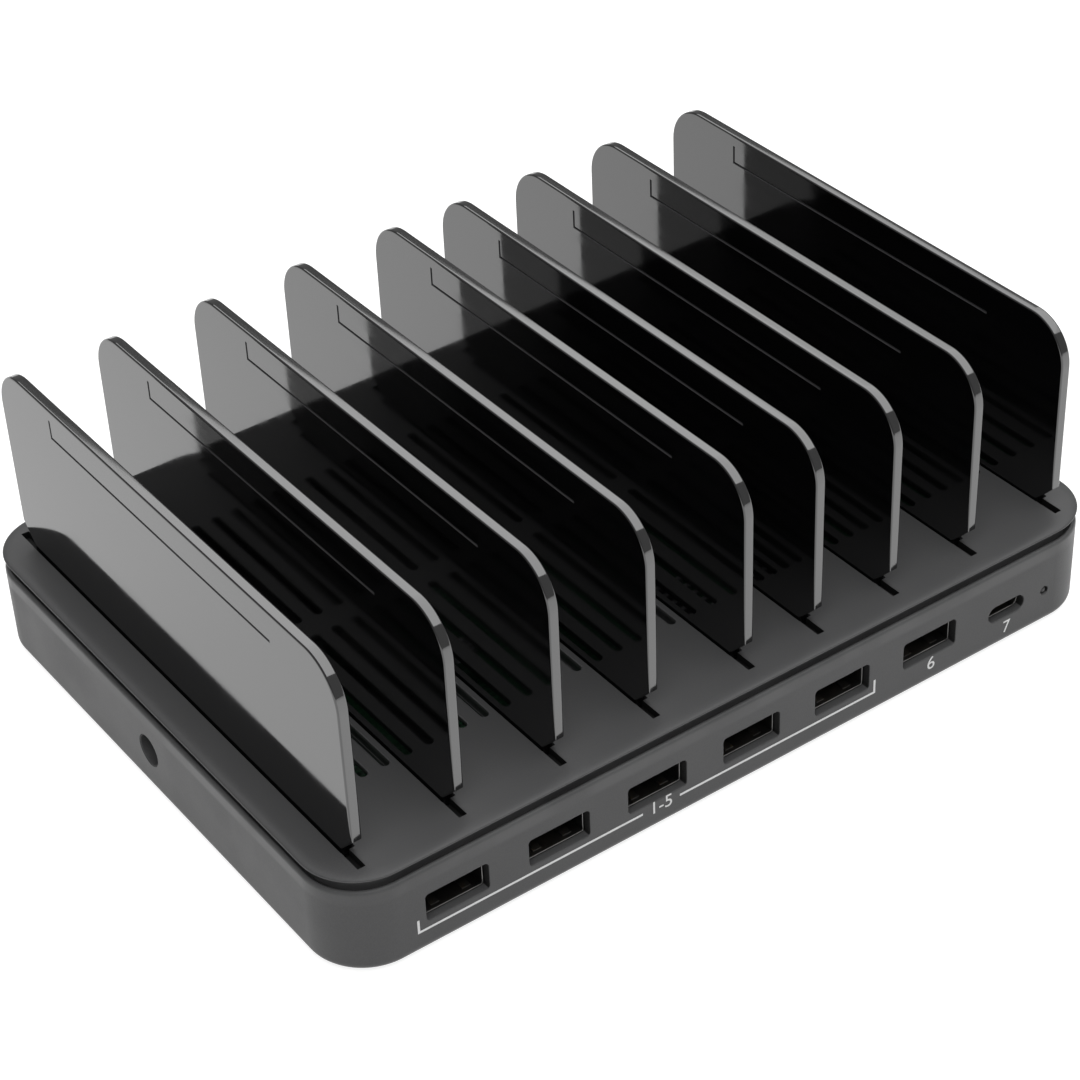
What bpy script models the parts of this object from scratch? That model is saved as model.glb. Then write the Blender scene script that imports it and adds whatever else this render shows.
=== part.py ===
"""A USB charging station: a low moulded case with ports in front and nine upright dividers on its deck.

Metres, +Z up. The ports face -Y, and the origin lies under the middle of the case, where it stands.
Inside the script, heights are measured from the underside of the case, which its feet lift off that surface.
"""

import math

import bmesh
import bpy
from mathutils import Matrix, Vector

# Fits
FIT_GAP = 0.0003  # between pieces that seat on, or fit in, each other
CUT_OVERRUN = 0.001  # how far a cutting shape runs past the face that it opens

# Case, seen from outside
CASE_LENGTH = 0.184
CASE_DEPTH = 0.135
CORNER_RADIUS = 0.0123
BOTTOM_FILLET = 0.0018
GROOVE_HEIGHT = 0.0015  # the shadow gap between shell and cover
GROOVE_DEPTH = 0.0014

# Bottom shell
WALL = 0.0024
FLOOR = 0.002
WALL_EDGE_RADIUS = 0.0009

# Top cover
COVER_EDGE = 0.0009  # height of the cover's edge that shows above the groove
RIM_RADIUS = 0.00075
DECK_THICKNESS = 0.002
SKIRT_WALL = 0.0012
SKIRT_REACH = 0.0035
POCKET_WALL = 0.001
POCKET_FLOOR = 0.001
SLOT_MARGIN = 0.0043  # from the case's front and back faces to the ends of the dividers' slots
SLOT_END_DEPTH = 0.0012  # of a slot's shallow ends, past the pocket
HEADROOM = 0.003  # between the ports' tops and the divider pockets

# Vent slots in the deck, four to a bay, each in a front run and a back run
VENT_COUNT = 4
VENT_WIDTH = 0.0018
VENT_INSET = 0.0242  # from the case's front and back faces to the slots' ends
VENT_BRIDGE = 0.005
VENT_LAND = 0.0003  # between a slot and the nearest pocket wall

# Dividers
DIVIDER_THICKNESS = 0.0023
DIVIDER_HEIGHT = 0.0428  # above the deck
DIVIDER_TONGUE = 0.0055  # below the deck
DIVIDER_SHOULDER = 0.004  # how much shorter the tongue is than the plate, at each end
DIVIDER_TOE = 0.0047  # height above the deck at which the lower corners are cut off aslant
DIVIDER_MARGIN = 0.006  # from the case's front and back faces
DIVIDER_CORNER = 0.0095
DIVIDER_EDGE = 0.0003
DIVIDER_FACE_SHARES = (0.0394, 0.1568, 0.2776, 0.3944, 0.5181, 0.6111, 0.7155, 0.8271, 0.9515)
LINE_WIDTH = 0.0006  # the line engraved in each divider's left face
LINE_DEPTH = 0.00035
LINE_DROP = 0.0065  # from the top edge to the line's centre
LINE_INSET = 0.0215  # from the front and back edges to the line's ends
TICK_DROP = 0.0025  # from the top edge to the tip of the line's back end, which turns up

# Circuit board and what holds it
STANDOFF_HEIGHT = 0.0028
STANDOFF_WALL = 0.0012
BOARD_THICKNESS = 0.0016
BOARD_GAP = 0.0005  # from the board's edges to the front wall and the screw posts
BOARD_BEHIND_JACK = 0.01
BOARD_SCREW_INSET = 0.004
BOARD_SCREW_RADIUS = 0.0011
BOARD_SCREW_HEAD_RADIUS = 0.0022
BOARD_SCREW_HEAD_HEIGHT = 0.0013
BOARD_SCREW_HEAD_EDGE = 0.0007
BOARD_SCREW_FLOOR = 0.0012  # left under the pilot hole

# Ports
PORT_SET_BACK = 0.0016  # from the front face to the metal shells
PORT_SHEET = 0.0003
USB_A_COUNT = 6
USB_A_FIRST_SHARE = 0.1333
USB_A_LAST_SHARE = 0.749
USB_A_WIDTH = 0.0125  # of the opening
USB_A_HEIGHT = 0.00512
USB_A_LENGTH = 0.014
USB_A_CORNER = 0.0006
USB_A_TONGUE_WIDTH = 0.0111
USB_A_TONGUE_THICKNESS = 0.00184
USB_A_TONGUE_DROP = 0.0007  # from the top of the opening to the tongue
USB_A_BLOCK_LENGTH = 0.0035
USB_C_PLACE_SHARE = 0.8614
USB_C_WIDTH = 0.00834
USB_C_HEIGHT = 0.00256
USB_C_LENGTH = 0.0074
USB_C_TONGUE_WIDTH = 0.0067
USB_C_TONGUE_THICKNESS = 0.0007
USB_C_BLOCK_LENGTH = 0.002
TONGUE_SET_BACK = 0.001  # from the metal shell's mouth

# Status light
LIGHT_PLACE_SHARE = 0.9185
LIGHT_RADIUS = 0.0009
LIGHT_SET_BACK = 0.0002
LIGHT_BODY_WIDTH = 0.003
LIGHT_BODY_HEIGHT = 0.0025
LIGHT_BODY_LENGTH = 0.004

# Power inlet in the left wall
JACK_OFFSET = 0.0014  # behind the middle of the wall
JACK_BODY = 0.008
JACK_LENGTH = 0.0125
JACK_BORE_RADIUS = 0.003
JACK_BACK = 0.003
JACK_HOLE_RADIUS = 0.00325
JACK_PIN_RADIUS = 0.001
JACK_PIN_EDGE = 0.0003
JACK_PIN_SEAT = 0.0015
JACK_PIN_SET_BACK = 0.001
JACK_PAD_WIDTH = 0.005

# Parts on the board
CAPACITOR_RADIUS = 0.004
CAPACITOR_HEIGHT = 0.0075
CAPACITOR_EDGE = 0.0006
CAPACITOR_WAIST = 0.0003
INDUCTOR_SIDE = 0.01
INDUCTOR_HEIGHT = 0.005
INDUCTOR_EDGE = 0.0012
INDUCTOR_TOP_EDGE = 0.0004
SINK_LENGTH = 0.024
SINK_DEPTH = 0.018
SINK_BASE = 0.0015
SINK_HEIGHT = 0.0065
SINK_FIN_COUNT = 7
SINK_FIN = 0.0011
CHIP_SIDE = 0.007
CHIP_HEIGHT = 0.0011
CAPACITOR_DEPTH_SHARES = (0.55, 0.78)
INDUCTOR_LENGTH_SHARES = (0.43, 0.58, 0.73)
INDUCTOR_DEPTH_SHARE = 0.72
SINK_PLACE_SHARES = (0.5, 0.3)
CHIP_PLACE_SHARES = (0.72, 0.3)

# Case screws, in posts over the feet
SCREW_INSET = 0.0115  # from the front and back faces
SCREW_RADIUS = 0.0013
SCREW_HEAD_RADIUS = 0.0026
SCREW_HEAD_HEIGHT = 0.0018
SCREW_SOCKET_RADIUS = 0.0011
SCREW_SOCKET_DEPTH = 0.0009
POST_WALL = 0.0014
POST_LAND = 0.0024  # what the screw's head pulls on
BOSS_WALL = 0.0016
BOSS_ROOT = 0.0013  # how far the bosses run up into the deck
BOSS_ROOF = 0.0008  # between the pilot hole and the pocket over it

# Feet
FOOT_RADIUS = 0.005
FOOT_STAND = 0.0008
FOOT_RECESS = 0.001
FOOT_EDGE = 0.0003

# Facets
CORNER_STEPS = 8
EDGE_STEPS = 2
ROUND_STEPS = 6
SMALL_ROUND_STEPS = 4
PORT_CORNER_STEPS = 2
SLOT_STEPS = 2
OUTLINE_DIGITS = 9
MERGE_DISTANCE = 0.00001
SMOOTH_ANGLE = math.radians(35)

# Heights above the case's underside, worked out from the sizes above
BOARD_BOTTOM = FLOOR + STANDOFF_HEIGHT + FIT_GAP
BOARD_TOP = BOARD_BOTTOM + BOARD_THICKNESS
BOARD_SEAT = BOARD_TOP + FIT_GAP
USB_A_OUTER_WIDTH = USB_A_WIDTH + 2 * PORT_SHEET
USB_A_OUTER_HEIGHT = USB_A_HEIGHT + 2 * PORT_SHEET
USB_A_CENTRE = BOARD_SEAT + USB_A_OUTER_HEIGHT / 2
USB_C_OUTER_WIDTH = USB_C_WIDTH + 2 * PORT_SHEET
USB_C_OUTER_HEIGHT = USB_C_HEIGHT + 2 * PORT_SHEET
USB_C_CENTRE = BOARD_SEAT + USB_C_OUTER_HEIGHT / 2
LIGHT_CENTRE = BOARD_SEAT + LIGHT_BODY_HEIGHT / 2
POCKET_UNDERSIDE = BOARD_SEAT + USB_A_OUTER_HEIGHT + HEADROOM
POCKET_BOTTOM = POCKET_UNDERSIDE + POCKET_FLOOR
DECK = POCKET_BOTTOM + FIT_GAP + DIVIDER_TONGUE
LIP = DECK - COVER_EDGE
WALL_TOP = LIP - GROOVE_HEIGHT
COVER_INSIDE = DECK - DECK_THICKNESS
HEAD_SEAT = FOOT_RECESS + SCREW_HEAD_HEIGHT + 2 * FIT_GAP
POST_TOP = HEAD_SEAT + POST_LAND
PILOT_TOP = POCKET_UNDERSIDE - BOSS_ROOF

# Places, from the middle of the case
FRONT = -CASE_DEPTH / 2
LEFT = -CASE_LENGTH / 2
DIVIDER_LENGTH = CASE_DEPTH - 2 * DIVIDER_MARGIN
TONGUE_LENGTH = DIVIDER_LENGTH - 2 * DIVIDER_SHOULDER
DIVIDER_PLACES = tuple(
    LEFT + share * CASE_LENGTH + DIVIDER_THICKNESS / 2 for share in DIVIDER_FACE_SHARES
)
SCREW_PLACES = tuple(
    (x, y)
    for y in (FRONT + SCREW_INSET, -FRONT - SCREW_INSET)
    for x in (DIVIDER_PLACES[0], DIVIDER_PLACES[-1])
)
POST_RADIUS = SCREW_HEAD_RADIUS + FIT_GAP + POST_WALL
BOARD_LEFT = DIVIDER_PLACES[0] + POST_RADIUS + BOARD_GAP
BOARD_RIGHT = DIVIDER_PLACES[-1] - POST_RADIUS - BOARD_GAP
BOARD_FRONT = FRONT + WALL + BOARD_GAP
BOARD_BACK = JACK_OFFSET + JACK_BODY / 2 + FIT_GAP + BOARD_BEHIND_JACK
BOARD_LENGTH = BOARD_RIGHT - BOARD_LEFT
PORTS_BACK = FRONT + PORT_SET_BACK + USB_A_LENGTH
BOARD_SCREW_PLACES = tuple(
    (x, y)
    for y in (PORTS_BACK + BOARD_SCREW_INSET, BOARD_BACK - BOARD_SCREW_INSET)
    for x in (BOARD_LEFT + BOARD_SCREW_INSET, BOARD_RIGHT - BOARD_SCREW_INSET)
)
JACK_FRONT = LEFT + WALL + FIT_GAP


def clear_scene():
    """Removes what the scene starts with."""
    for item in list(bpy.data.objects):
        bpy.data.objects.remove(item)


def make_collections():
    """The collection of the object's parts, and the one of the shapes that cut or join them."""
    parts = bpy.data.collections.new("usb_charging_station")
    helpers = bpy.data.collections.new("cutters_and_joiners")
    for group in (parts, helpers):
        bpy.context.scene.collection.children.link(group)
    return parts, helpers


def finish(name, colour, roughness, metallic=0.0):
    """A material of one plain colour."""
    material = bpy.data.materials.new(name)
    material.use_nodes = True
    shader = material.node_tree.nodes["Principled BSDF"]
    shader.inputs["Base Color"].default_value = (*colour, 1.0)
    shader.inputs["Roughness"].default_value = roughness
    shader.inputs["Metallic"].default_value = metallic
    material.diffuse_color = (*colour, 1.0)
    return material


def outline(length, depth, radius, height, steps=SMALL_ROUND_STEPS, centre=(0.0, 0.0)):
    """Points round a rectangle with rounded corners: sharp without a radius, round with a full one."""
    points = []
    for corner, (side_x, side_y) in enumerate(((1, 1), (-1, 1), (-1, -1), (1, -1))):
        middle_x = centre[0] + side_x * (length / 2 - radius)
        middle_y = centre[1] + side_y * (depth / 2 - radius)
        for step in range(steps + 1):
            angle = (corner + step / steps) * math.pi / 2
            x = middle_x + radius * math.cos(angle)
            y = middle_y + radius * math.sin(angle)
            points.append((round(x, OUTLINE_DIGITS), round(y, OUTLINE_DIGITS), height))
    points = list(dict.fromkeys(points))
    return [Vector(point) for point in points]


def circle(radius, height, steps=ROUND_STEPS):
    """Points round a circle."""
    return outline(2 * radius, 2 * radius, radius, height, steps)


def draw_out(mesh, rings, place=Matrix()):
    """Adds one closed body, by drawing a face out from the first ring to the last."""
    face = mesh.faces.new([mesh.verts.new(place @ point) for point in rings[0]])
    start = list(face.verts)
    for ring in rings[1:]:
        face = bmesh.ops.extrude_discrete_faces(mesh, faces=[face])["faces"][0]
        for vert, point in zip(face.verts, ring):
            vert.co = place @ point
    mesh.faces.new(start)


def add_box(mesh, low, high):
    """Adds a box between two corners."""
    low, high = Vector(low), Vector(high)
    scale = Matrix.Diagonal((*(high - low), 1.0))
    bmesh.ops.create_cube(mesh, size=1.0, matrix=Matrix.Translation((low + high) / 2) @ scale)


def add_drum(mesh, radius, bottom, top, centre, steps=ROUND_STEPS):
    """Adds an upright cylinder."""
    place = Matrix.Translation((*centre, (bottom + top) / 2))
    bmesh.ops.create_cone(
        mesh,
        cap_ends=True,
        segments=4 * steps,
        radius1=radius,
        radius2=radius,
        depth=top - bottom,
        matrix=place,
    )


def to_mesh(mesh, name, material=None):
    """The drawn bodies as mesh data, facing out, smooth where they are round."""
    bmesh.ops.recalc_face_normals(mesh, faces=mesh.faces)
    data = bpy.data.meshes.new(name)
    mesh.to_mesh(data)
    mesh.free()
    data.shade_smooth()
    data.set_sharp_from_angle(angle=SMOOTH_ANGLE)
    if material:
        data.materials.append(material)
    return data


def place_object(name, data, group, parent, location=(0.0, 0.0, 0.0), rotation=(0.0, 0.0, 0.0)):
    """An object of its own in a collection, held by its parent."""
    item = bpy.data.objects.new(name, data)
    group.objects.link(item)
    item.parent = parent
    item.location = location
    item.rotation_euler = rotation
    return item


def make_helper(name, mesh, helpers, parent, location=(0.0, 0.0, 0.0)):
    """A shape that cuts or joins a part, and is no part itself."""
    item = place_object(name, to_mesh(mesh, name), helpers, parent, location)
    item.hide_render = True
    item.display_type = "WIRE"
    return item


def combine(item, operation, helper):
    """Cuts a part by a helper, or joins the helper to it."""
    modifier = item.modifiers.new(helper.name, "BOOLEAN")
    modifier.operation = operation
    modifier.solver = "EXACT"
    modifier.object = helper


def as_built(item, name):
    """A part's mesh with its modifiers worked in, for copies to share."""
    graph = bpy.context.evaluated_depsgraph_get()
    data = bpy.data.meshes.new_from_object(item.evaluated_get(graph))
    data.name = name
    return data


def turned(name, profile, steps, material, helpers):
    """Mesh data turned round Z from a profile that runs down its outer side, as (radius, height) pairs."""
    mesh = bmesh.new()
    verts = [mesh.verts.new((radius, 0.0, height)) for radius, height in profile]
    for pair in zip(verts, verts[1:]):
        mesh.edges.new(pair)
    pattern = make_helper(f"{name}_profile", mesh, helpers, None)
    screw = pattern.modifiers.new("turn", "SCREW")
    screw.steps = screw.render_steps = 4 * steps
    screw.use_merge_vertices = True
    screw.merge_threshold = MERGE_DISTANCE
    data = as_built(pattern, name)
    data.set_sharp_from_angle(angle=SMOOTH_ANGLE)
    data.materials.append(material)
    return data


def rounding(radius, steps, corner_inset, corner_height, rising):
    """(inset, height) pairs round an outer edge of the case, from its side to its top or its underside."""
    pairs = []
    for step in range(steps + 1):
        angle = step / steps * math.pi / 2
        inset = corner_inset + radius * (1 - math.cos(angle))
        height = corner_height + rising * radius * (math.sin(angle) - 1)
        pairs.append((inset, height))
    return pairs


def case_rings(pairs):
    """Rings round the case at (inset, height) pairs."""
    return [
        outline(
            CASE_LENGTH - 2 * inset, CASE_DEPTH - 2 * inset, CORNER_RADIUS - inset, height, CORNER_STEPS
        )
        for inset, height in pairs
    ]


def front_place(x, height):
    """Where a shape drawn along +Z turns to face out of the front wall."""
    return Matrix.Translation((x, FRONT, height)) @ Matrix.Rotation(math.pi / 2, 4, "X")


def left_place(y, height):
    """Where a shape drawn along +Z turns to face out of the left wall."""
    return Matrix.Translation((LEFT, y, height)) @ Matrix.Rotation(-math.pi / 2, 4, "Y")


def usb_a_places():
    """The USB-A ports' centres along the front."""
    span = USB_A_LAST_SHARE - USB_A_FIRST_SHARE
    shares = [USB_A_FIRST_SHARE + span * index / (USB_A_COUNT - 1) for index in range(USB_A_COUNT)]
    return [LEFT + share * CASE_LENGTH for share in shares]


def shell_supports():
    """What stands on the shell's floor: screw posts, board standoffs and the pad under the power inlet."""
    mesh = bmesh.new()
    for centre in SCREW_PLACES:
        add_drum(mesh, POST_RADIUS, FLOOR / 2, POST_TOP, centre)
    for centre in BOARD_SCREW_PLACES:
        radius = BOARD_SCREW_RADIUS + FIT_GAP + STANDOFF_WALL
        add_drum(mesh, radius, FLOOR / 2, FLOOR + STANDOFF_HEIGHT, centre, SMALL_ROUND_STEPS)
    pad_top = USB_A_CENTRE - JACK_BODY / 2 - FIT_GAP
    add_box(
        mesh,
        (LEFT + WALL / 2, JACK_OFFSET - JACK_PAD_WIDTH / 2, FLOOR / 2),
        (JACK_FRONT + JACK_LENGTH, JACK_OFFSET + JACK_PAD_WIDTH / 2, pad_top),
    )
    return mesh


def shell_cuts():
    """What is cut from the shell: openings in its walls, and recesses and holes in its floor and posts."""
    mesh = bmesh.new()
    outer, inner = CUT_OVERRUN, -WALL - CUT_OVERRUN
    for x in usb_a_places():
        size = (USB_A_OUTER_WIDTH + 2 * FIT_GAP, USB_A_OUTER_HEIGHT + 2 * FIT_GAP, USB_A_CORNER + FIT_GAP)
        rings = [outline(*size, height, PORT_CORNER_STEPS) for height in (inner, outer)]
        draw_out(mesh, rings, front_place(x, USB_A_CENTRE))
    height = USB_C_OUTER_HEIGHT + 2 * FIT_GAP
    size = (USB_C_OUTER_WIDTH + 2 * FIT_GAP, height, height / 2)
    place = front_place(LEFT + USB_C_PLACE_SHARE * CASE_LENGTH, USB_C_CENTRE)
    draw_out(mesh, [outline(*size, inner), outline(*size, outer)], place)
    radius = LIGHT_RADIUS + FIT_GAP
    place = front_place(LEFT + LIGHT_PLACE_SHARE * CASE_LENGTH, LIGHT_CENTRE)
    draw_out(mesh, [circle(radius, inner), circle(radius, outer)], place)
    place = left_place(JACK_OFFSET, USB_A_CENTRE)
    draw_out(mesh, [circle(JACK_HOLE_RADIUS, inner), circle(JACK_HOLE_RADIUS, outer)], place)
    for x, y in SCREW_PLACES:
        steps = (
            (FOOT_RADIUS + FIT_GAP, -CUT_OVERRUN, FOOT_RECESS),
            (SCREW_HEAD_RADIUS + FIT_GAP, FOOT_RECESS, HEAD_SEAT),
            (SCREW_RADIUS + FIT_GAP, HEAD_SEAT, POST_TOP + CUT_OVERRUN),
        )
        rings = [circle(radius, height) for radius, *heights in steps for height in heights]
        draw_out(mesh, rings, Matrix.Translation((x, y, 0.0)))
    for centre in BOARD_SCREW_PLACES:
        top = FLOOR + STANDOFF_HEIGHT + CUT_OVERRUN
        add_drum(mesh, BOARD_SCREW_RADIUS + FIT_GAP, BOARD_SCREW_FLOOR, top, centre, SMALL_ROUND_STEPS)
    return mesh


def make_bottom_shell(parts, helpers, case, material):
    """The tray: floor, walls and the tongue that the cover closes over, with its supports and openings."""
    tongue_top = LIP - FIT_GAP
    pairs = [(WALL, FLOOR), (WALL, tongue_top), (GROOVE_DEPTH, tongue_top), (GROOVE_DEPTH, WALL_TOP)]
    pairs += reversed(rounding(WALL_EDGE_RADIUS, EDGE_STEPS, 0.0, WALL_TOP, 1))
    pairs += rounding(BOTTOM_FILLET, EDGE_STEPS + 1, 0.0, 0.0, -1)
    mesh = bmesh.new()
    draw_out(mesh, case_rings(pairs))
    shell = place_object("bottom_shell", to_mesh(mesh, "bottom_shell", material), parts, case)
    combine(shell, "UNION", make_helper("shell_supports", shell_supports(), helpers, case))
    combine(shell, "DIFFERENCE", make_helper("shell_cuts", shell_cuts(), helpers, case))


def cover_pockets():
    """The nine pockets that hold the dividers, under the deck."""
    mesh = bmesh.new()
    half_width = DIVIDER_THICKNESS / 2 + FIT_GAP + POCKET_WALL
    half_length = TONGUE_LENGTH / 2 + FIT_GAP + POCKET_WALL
    for x in DIVIDER_PLACES:
        top = DECK - DECK_THICKNESS / 2
        add_box(mesh, (x - half_width, -half_length, POCKET_UNDERSIDE), (x + half_width, half_length, top))
    return mesh


def cover_bosses():
    """The bosses that the case screws run up into."""
    mesh = bmesh.new()
    radius = SCREW_RADIUS + FIT_GAP + BOSS_WALL
    for centre in SCREW_PLACES:
        add_drum(mesh, radius, POST_TOP + FIT_GAP, COVER_INSIDE + BOSS_ROOT, centre)
    return mesh


def vent_centres(left_divider, right_divider):
    """Where the vent slots of one bay lie, evenly spread from beside one pocket to beside the next."""
    margin = DIVIDER_THICKNESS / 2 + FIT_GAP + POCKET_WALL + VENT_LAND + VENT_WIDTH / 2
    first, last = left_divider + margin, right_divider - margin
    return [first + (last - first) * index / (VENT_COUNT - 1) for index in range(VENT_COUNT)]


def slot_rings(x, above):
    """The sides of one divider's slot: a pocket with a shallow end before and behind it."""
    half_width = DIVIDER_THICKNESS / 2 + FIT_GAP
    pocket = TONGUE_LENGTH / 2 + FIT_GAP
    slot = CASE_DEPTH / 2 - SLOT_MARGIN
    shallow = DECK - SLOT_END_DEPTH
    corners = [(-slot, shallow), (-pocket, shallow), (-pocket, POCKET_BOTTOM), (pocket, POCKET_BOTTOM)]
    corners += [(pocket, shallow), (slot, shallow), (slot, above), (-slot, above)]
    return [[Vector((x + side * half_width, y, z)) for y, z in corners] for side in (-1, 1)]


def cover_cuts():
    """What is cut from the cover: the slots for the dividers, the vents and the screws' pilot holes."""
    mesh = bmesh.new()
    above = DECK + CUT_OVERRUN
    for x in DIVIDER_PLACES:
        draw_out(mesh, slot_rings(x, above))
    run = (CASE_DEPTH - VENT_BRIDGE) / 2 - VENT_INSET
    size = (VENT_WIDTH, run, VENT_WIDTH / 2)
    heights = (COVER_INSIDE - CUT_OVERRUN, above)
    for pair in zip(DIVIDER_PLACES, DIVIDER_PLACES[1:]):
        for x in vent_centres(*pair):
            for side in (-1, 1):
                place = Matrix.Translation((x, side * (VENT_BRIDGE + run) / 2, 0.0))
                draw_out(mesh, [outline(*size, height, SLOT_STEPS) for height in heights], place)
    for centre in SCREW_PLACES:
        add_drum(mesh, SCREW_RADIUS + FIT_GAP, POST_TOP - CUT_OVERRUN, PILOT_TOP, centre)
    return mesh


def make_top_cover(parts, helpers, case, material):
    """The cover: a deck with a soft rim, a skirt in the shell's tongue, divider pockets, vents and bosses."""
    skirt = WALL + FIT_GAP
    skirt_bottom = LIP - SKIRT_REACH
    pairs = [(skirt + SKIRT_WALL, COVER_INSIDE), (skirt + SKIRT_WALL, skirt_bottom)]
    pairs += [(skirt, skirt_bottom), (skirt, LIP), (0.0, LIP)]
    pairs += rounding(RIM_RADIUS, EDGE_STEPS, 0.0, DECK, 1)
    mesh = bmesh.new()
    draw_out(mesh, case_rings(pairs))
    cover = place_object("top_cover", to_mesh(mesh, "top_cover", material), parts, case)
    combine(cover, "UNION", make_helper("cover_pockets", cover_pockets(), helpers, case))
    combine(cover, "UNION", make_helper("cover_bosses", cover_bosses(), helpers, case))
    combine(cover, "DIFFERENCE", make_helper("cover_cuts", cover_cuts(), helpers, case))


def divider_outline():
    """A divider's outline in its plane: a tongue, lower corners cut aslant and round upper corners."""
    tongue, plate = TONGUE_LENGTH / 2, DIVIDER_LENGTH / 2
    corners = ((-plate, DIVIDER_TOE), (-tongue, FIT_GAP), (-tongue, -DIVIDER_TONGUE))
    corners += ((tongue, -DIVIDER_TONGUE), (tongue, FIT_GAP), (plate, DIVIDER_TOE))
    points = [Vector((0.0, y, z)) for y, z in corners]
    for side, start in ((1, 0.0), (-1, math.pi / 2)):
        for step in range(CORNER_STEPS + 1):
            angle = start + step / CORNER_STEPS * math.pi / 2
            y = side * (DIVIDER_LENGTH / 2 - DIVIDER_CORNER) + DIVIDER_CORNER * math.cos(angle)
            z = DIVIDER_HEIGHT - DIVIDER_CORNER + DIVIDER_CORNER * math.sin(angle)
            points.append(Vector((0.0, y, z)))
    return points


def engraved_line():
    """The line in a divider's left face, with its back end turned up."""
    half = LINE_WIDTH / 2
    front = -DIVIDER_LENGTH / 2 + LINE_INSET
    back = DIVIDER_LENGTH / 2 - LINE_INSET
    middle = DIVIDER_HEIGHT - LINE_DROP
    tip = DIVIDER_HEIGHT - TICK_DROP
    corners = (
        (front, middle - half),
        (back, middle - half),
        (back, tip),
        (back - LINE_WIDTH, tip),
        (back - LINE_WIDTH, middle + half),
        (front, middle + half),
    )
    face = -DIVIDER_THICKNESS / 2
    mesh = bmesh.new()
    rings = [[Vector((x, y, z)) for y, z in corners] for x in (face - CUT_OVERRUN, face + LINE_DEPTH)]
    draw_out(mesh, rings)
    return mesh


def make_dividers(parts, helpers, case, material):
    """Nine like plates, each with its origin on the deck where it slides up out of its pocket."""
    mesh = bmesh.new()
    half = Vector((DIVIDER_THICKNESS / 2, 0.0, 0.0))
    draw_out(mesh, [[point + side * half for point in divider_outline()] for side in (-1, 1)])
    pattern = place_object("divider_pattern", to_mesh(mesh, "divider_pattern", material), helpers, None)
    pattern.hide_render = True
    edge = pattern.modifiers.new("edge", "BEVEL")
    edge.width = DIVIDER_EDGE
    edge.segments = 1
    edge.angle_limit = SMOOTH_ANGLE
    combine(pattern, "DIFFERENCE", make_helper("engraved_line", engraved_line(), helpers, None))
    plate = as_built(pattern, "divider")
    for number, x in enumerate(DIVIDER_PLACES, 1):
        place_object(f"divider_{number}", plate, parts, case, (x, 0.0, DECK))


def make_board(parts, helpers, case, material):
    """The circuit board, notched round the power inlet and drilled for its screws."""
    mesh = bmesh.new()
    add_box(mesh, (BOARD_LEFT, BOARD_FRONT, BOARD_BOTTOM), (BOARD_RIGHT, BOARD_BACK, BOARD_TOP))
    board = place_object("circuit_board", to_mesh(mesh, "circuit_board", material), parts, case)
    cuts = bmesh.new()
    below, above = BOARD_BOTTOM - CUT_OVERRUN, BOARD_TOP + CUT_OVERRUN
    half = JACK_BODY / 2 + FIT_GAP
    add_box(
        cuts,
        (LEFT, JACK_OFFSET - half, below),
        (JACK_FRONT + JACK_LENGTH + FIT_GAP, JACK_OFFSET + half, above),
    )
    for centre in BOARD_SCREW_PLACES:
        add_drum(cuts, BOARD_SCREW_RADIUS + FIT_GAP, below, above, centre, SMALL_ROUND_STEPS)
    combine(board, "DIFFERENCE", make_helper("board_cuts", cuts, helpers, case))


def port_shell(name, size, length, material, steps):
    """A port's folded metal shell: a rounded tube with a closed back, drawn along +Z to its mouth at 0."""
    width, height, radius = size
    inner = (width - 2 * PORT_SHEET, height - 2 * PORT_SHEET, radius - PORT_SHEET)
    mesh = bmesh.new()
    levels = ((inner, PORT_SHEET - length), (inner, 0.0), (size, 0.0), (size, -length))
    draw_out(mesh, [outline(*section, level, steps) for section, level in levels])
    return to_mesh(mesh, name, material)


def port_tongue(name, block, tongue, lengths, offset, material):
    """A port's plastic insert: a block that fills the shell's back and the tongue that stands out of it."""
    back, step, tip = lengths
    mesh = bmesh.new()
    rings = [outline(*block, back), outline(*block, step)]
    rings += [outline(*tongue, step, centre=(0.0, offset)), outline(*tongue, tip, centre=(0.0, offset))]
    draw_out(mesh, rings)
    return to_mesh(mesh, name, material)


def make_usb_a_ports(parts, case, metal, plastic):
    """Six USB-A ports in a row along the front."""
    size = (USB_A_OUTER_WIDTH, USB_A_OUTER_HEIGHT, USB_A_CORNER)
    shell = port_shell("usb_a_shell", size, USB_A_LENGTH, metal, PORT_CORNER_STEPS)
    back = PORT_SHEET + FIT_GAP - USB_A_LENGTH
    lengths = (back, back + USB_A_BLOCK_LENGTH, -TONGUE_SET_BACK)
    block = (USB_A_WIDTH - 2 * FIT_GAP, USB_A_HEIGHT - 2 * FIT_GAP, 0.0)
    tongue = (USB_A_TONGUE_WIDTH, USB_A_TONGUE_THICKNESS, 0.0)
    offset = (USB_A_HEIGHT - USB_A_TONGUE_THICKNESS) / 2 - USB_A_TONGUE_DROP
    insert = port_tongue("usb_a_tongue", block, tongue, lengths, offset, plastic)
    for number, x in enumerate(usb_a_places(), 1):
        place = ((x, FRONT + PORT_SET_BACK, USB_A_CENTRE), (math.pi / 2, 0.0, 0.0))
        place_object(f"usb_a_shell_{number}", shell, parts, case, *place)
        place_object(f"usb_a_tongue_{number}", insert, parts, case, *place)


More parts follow.
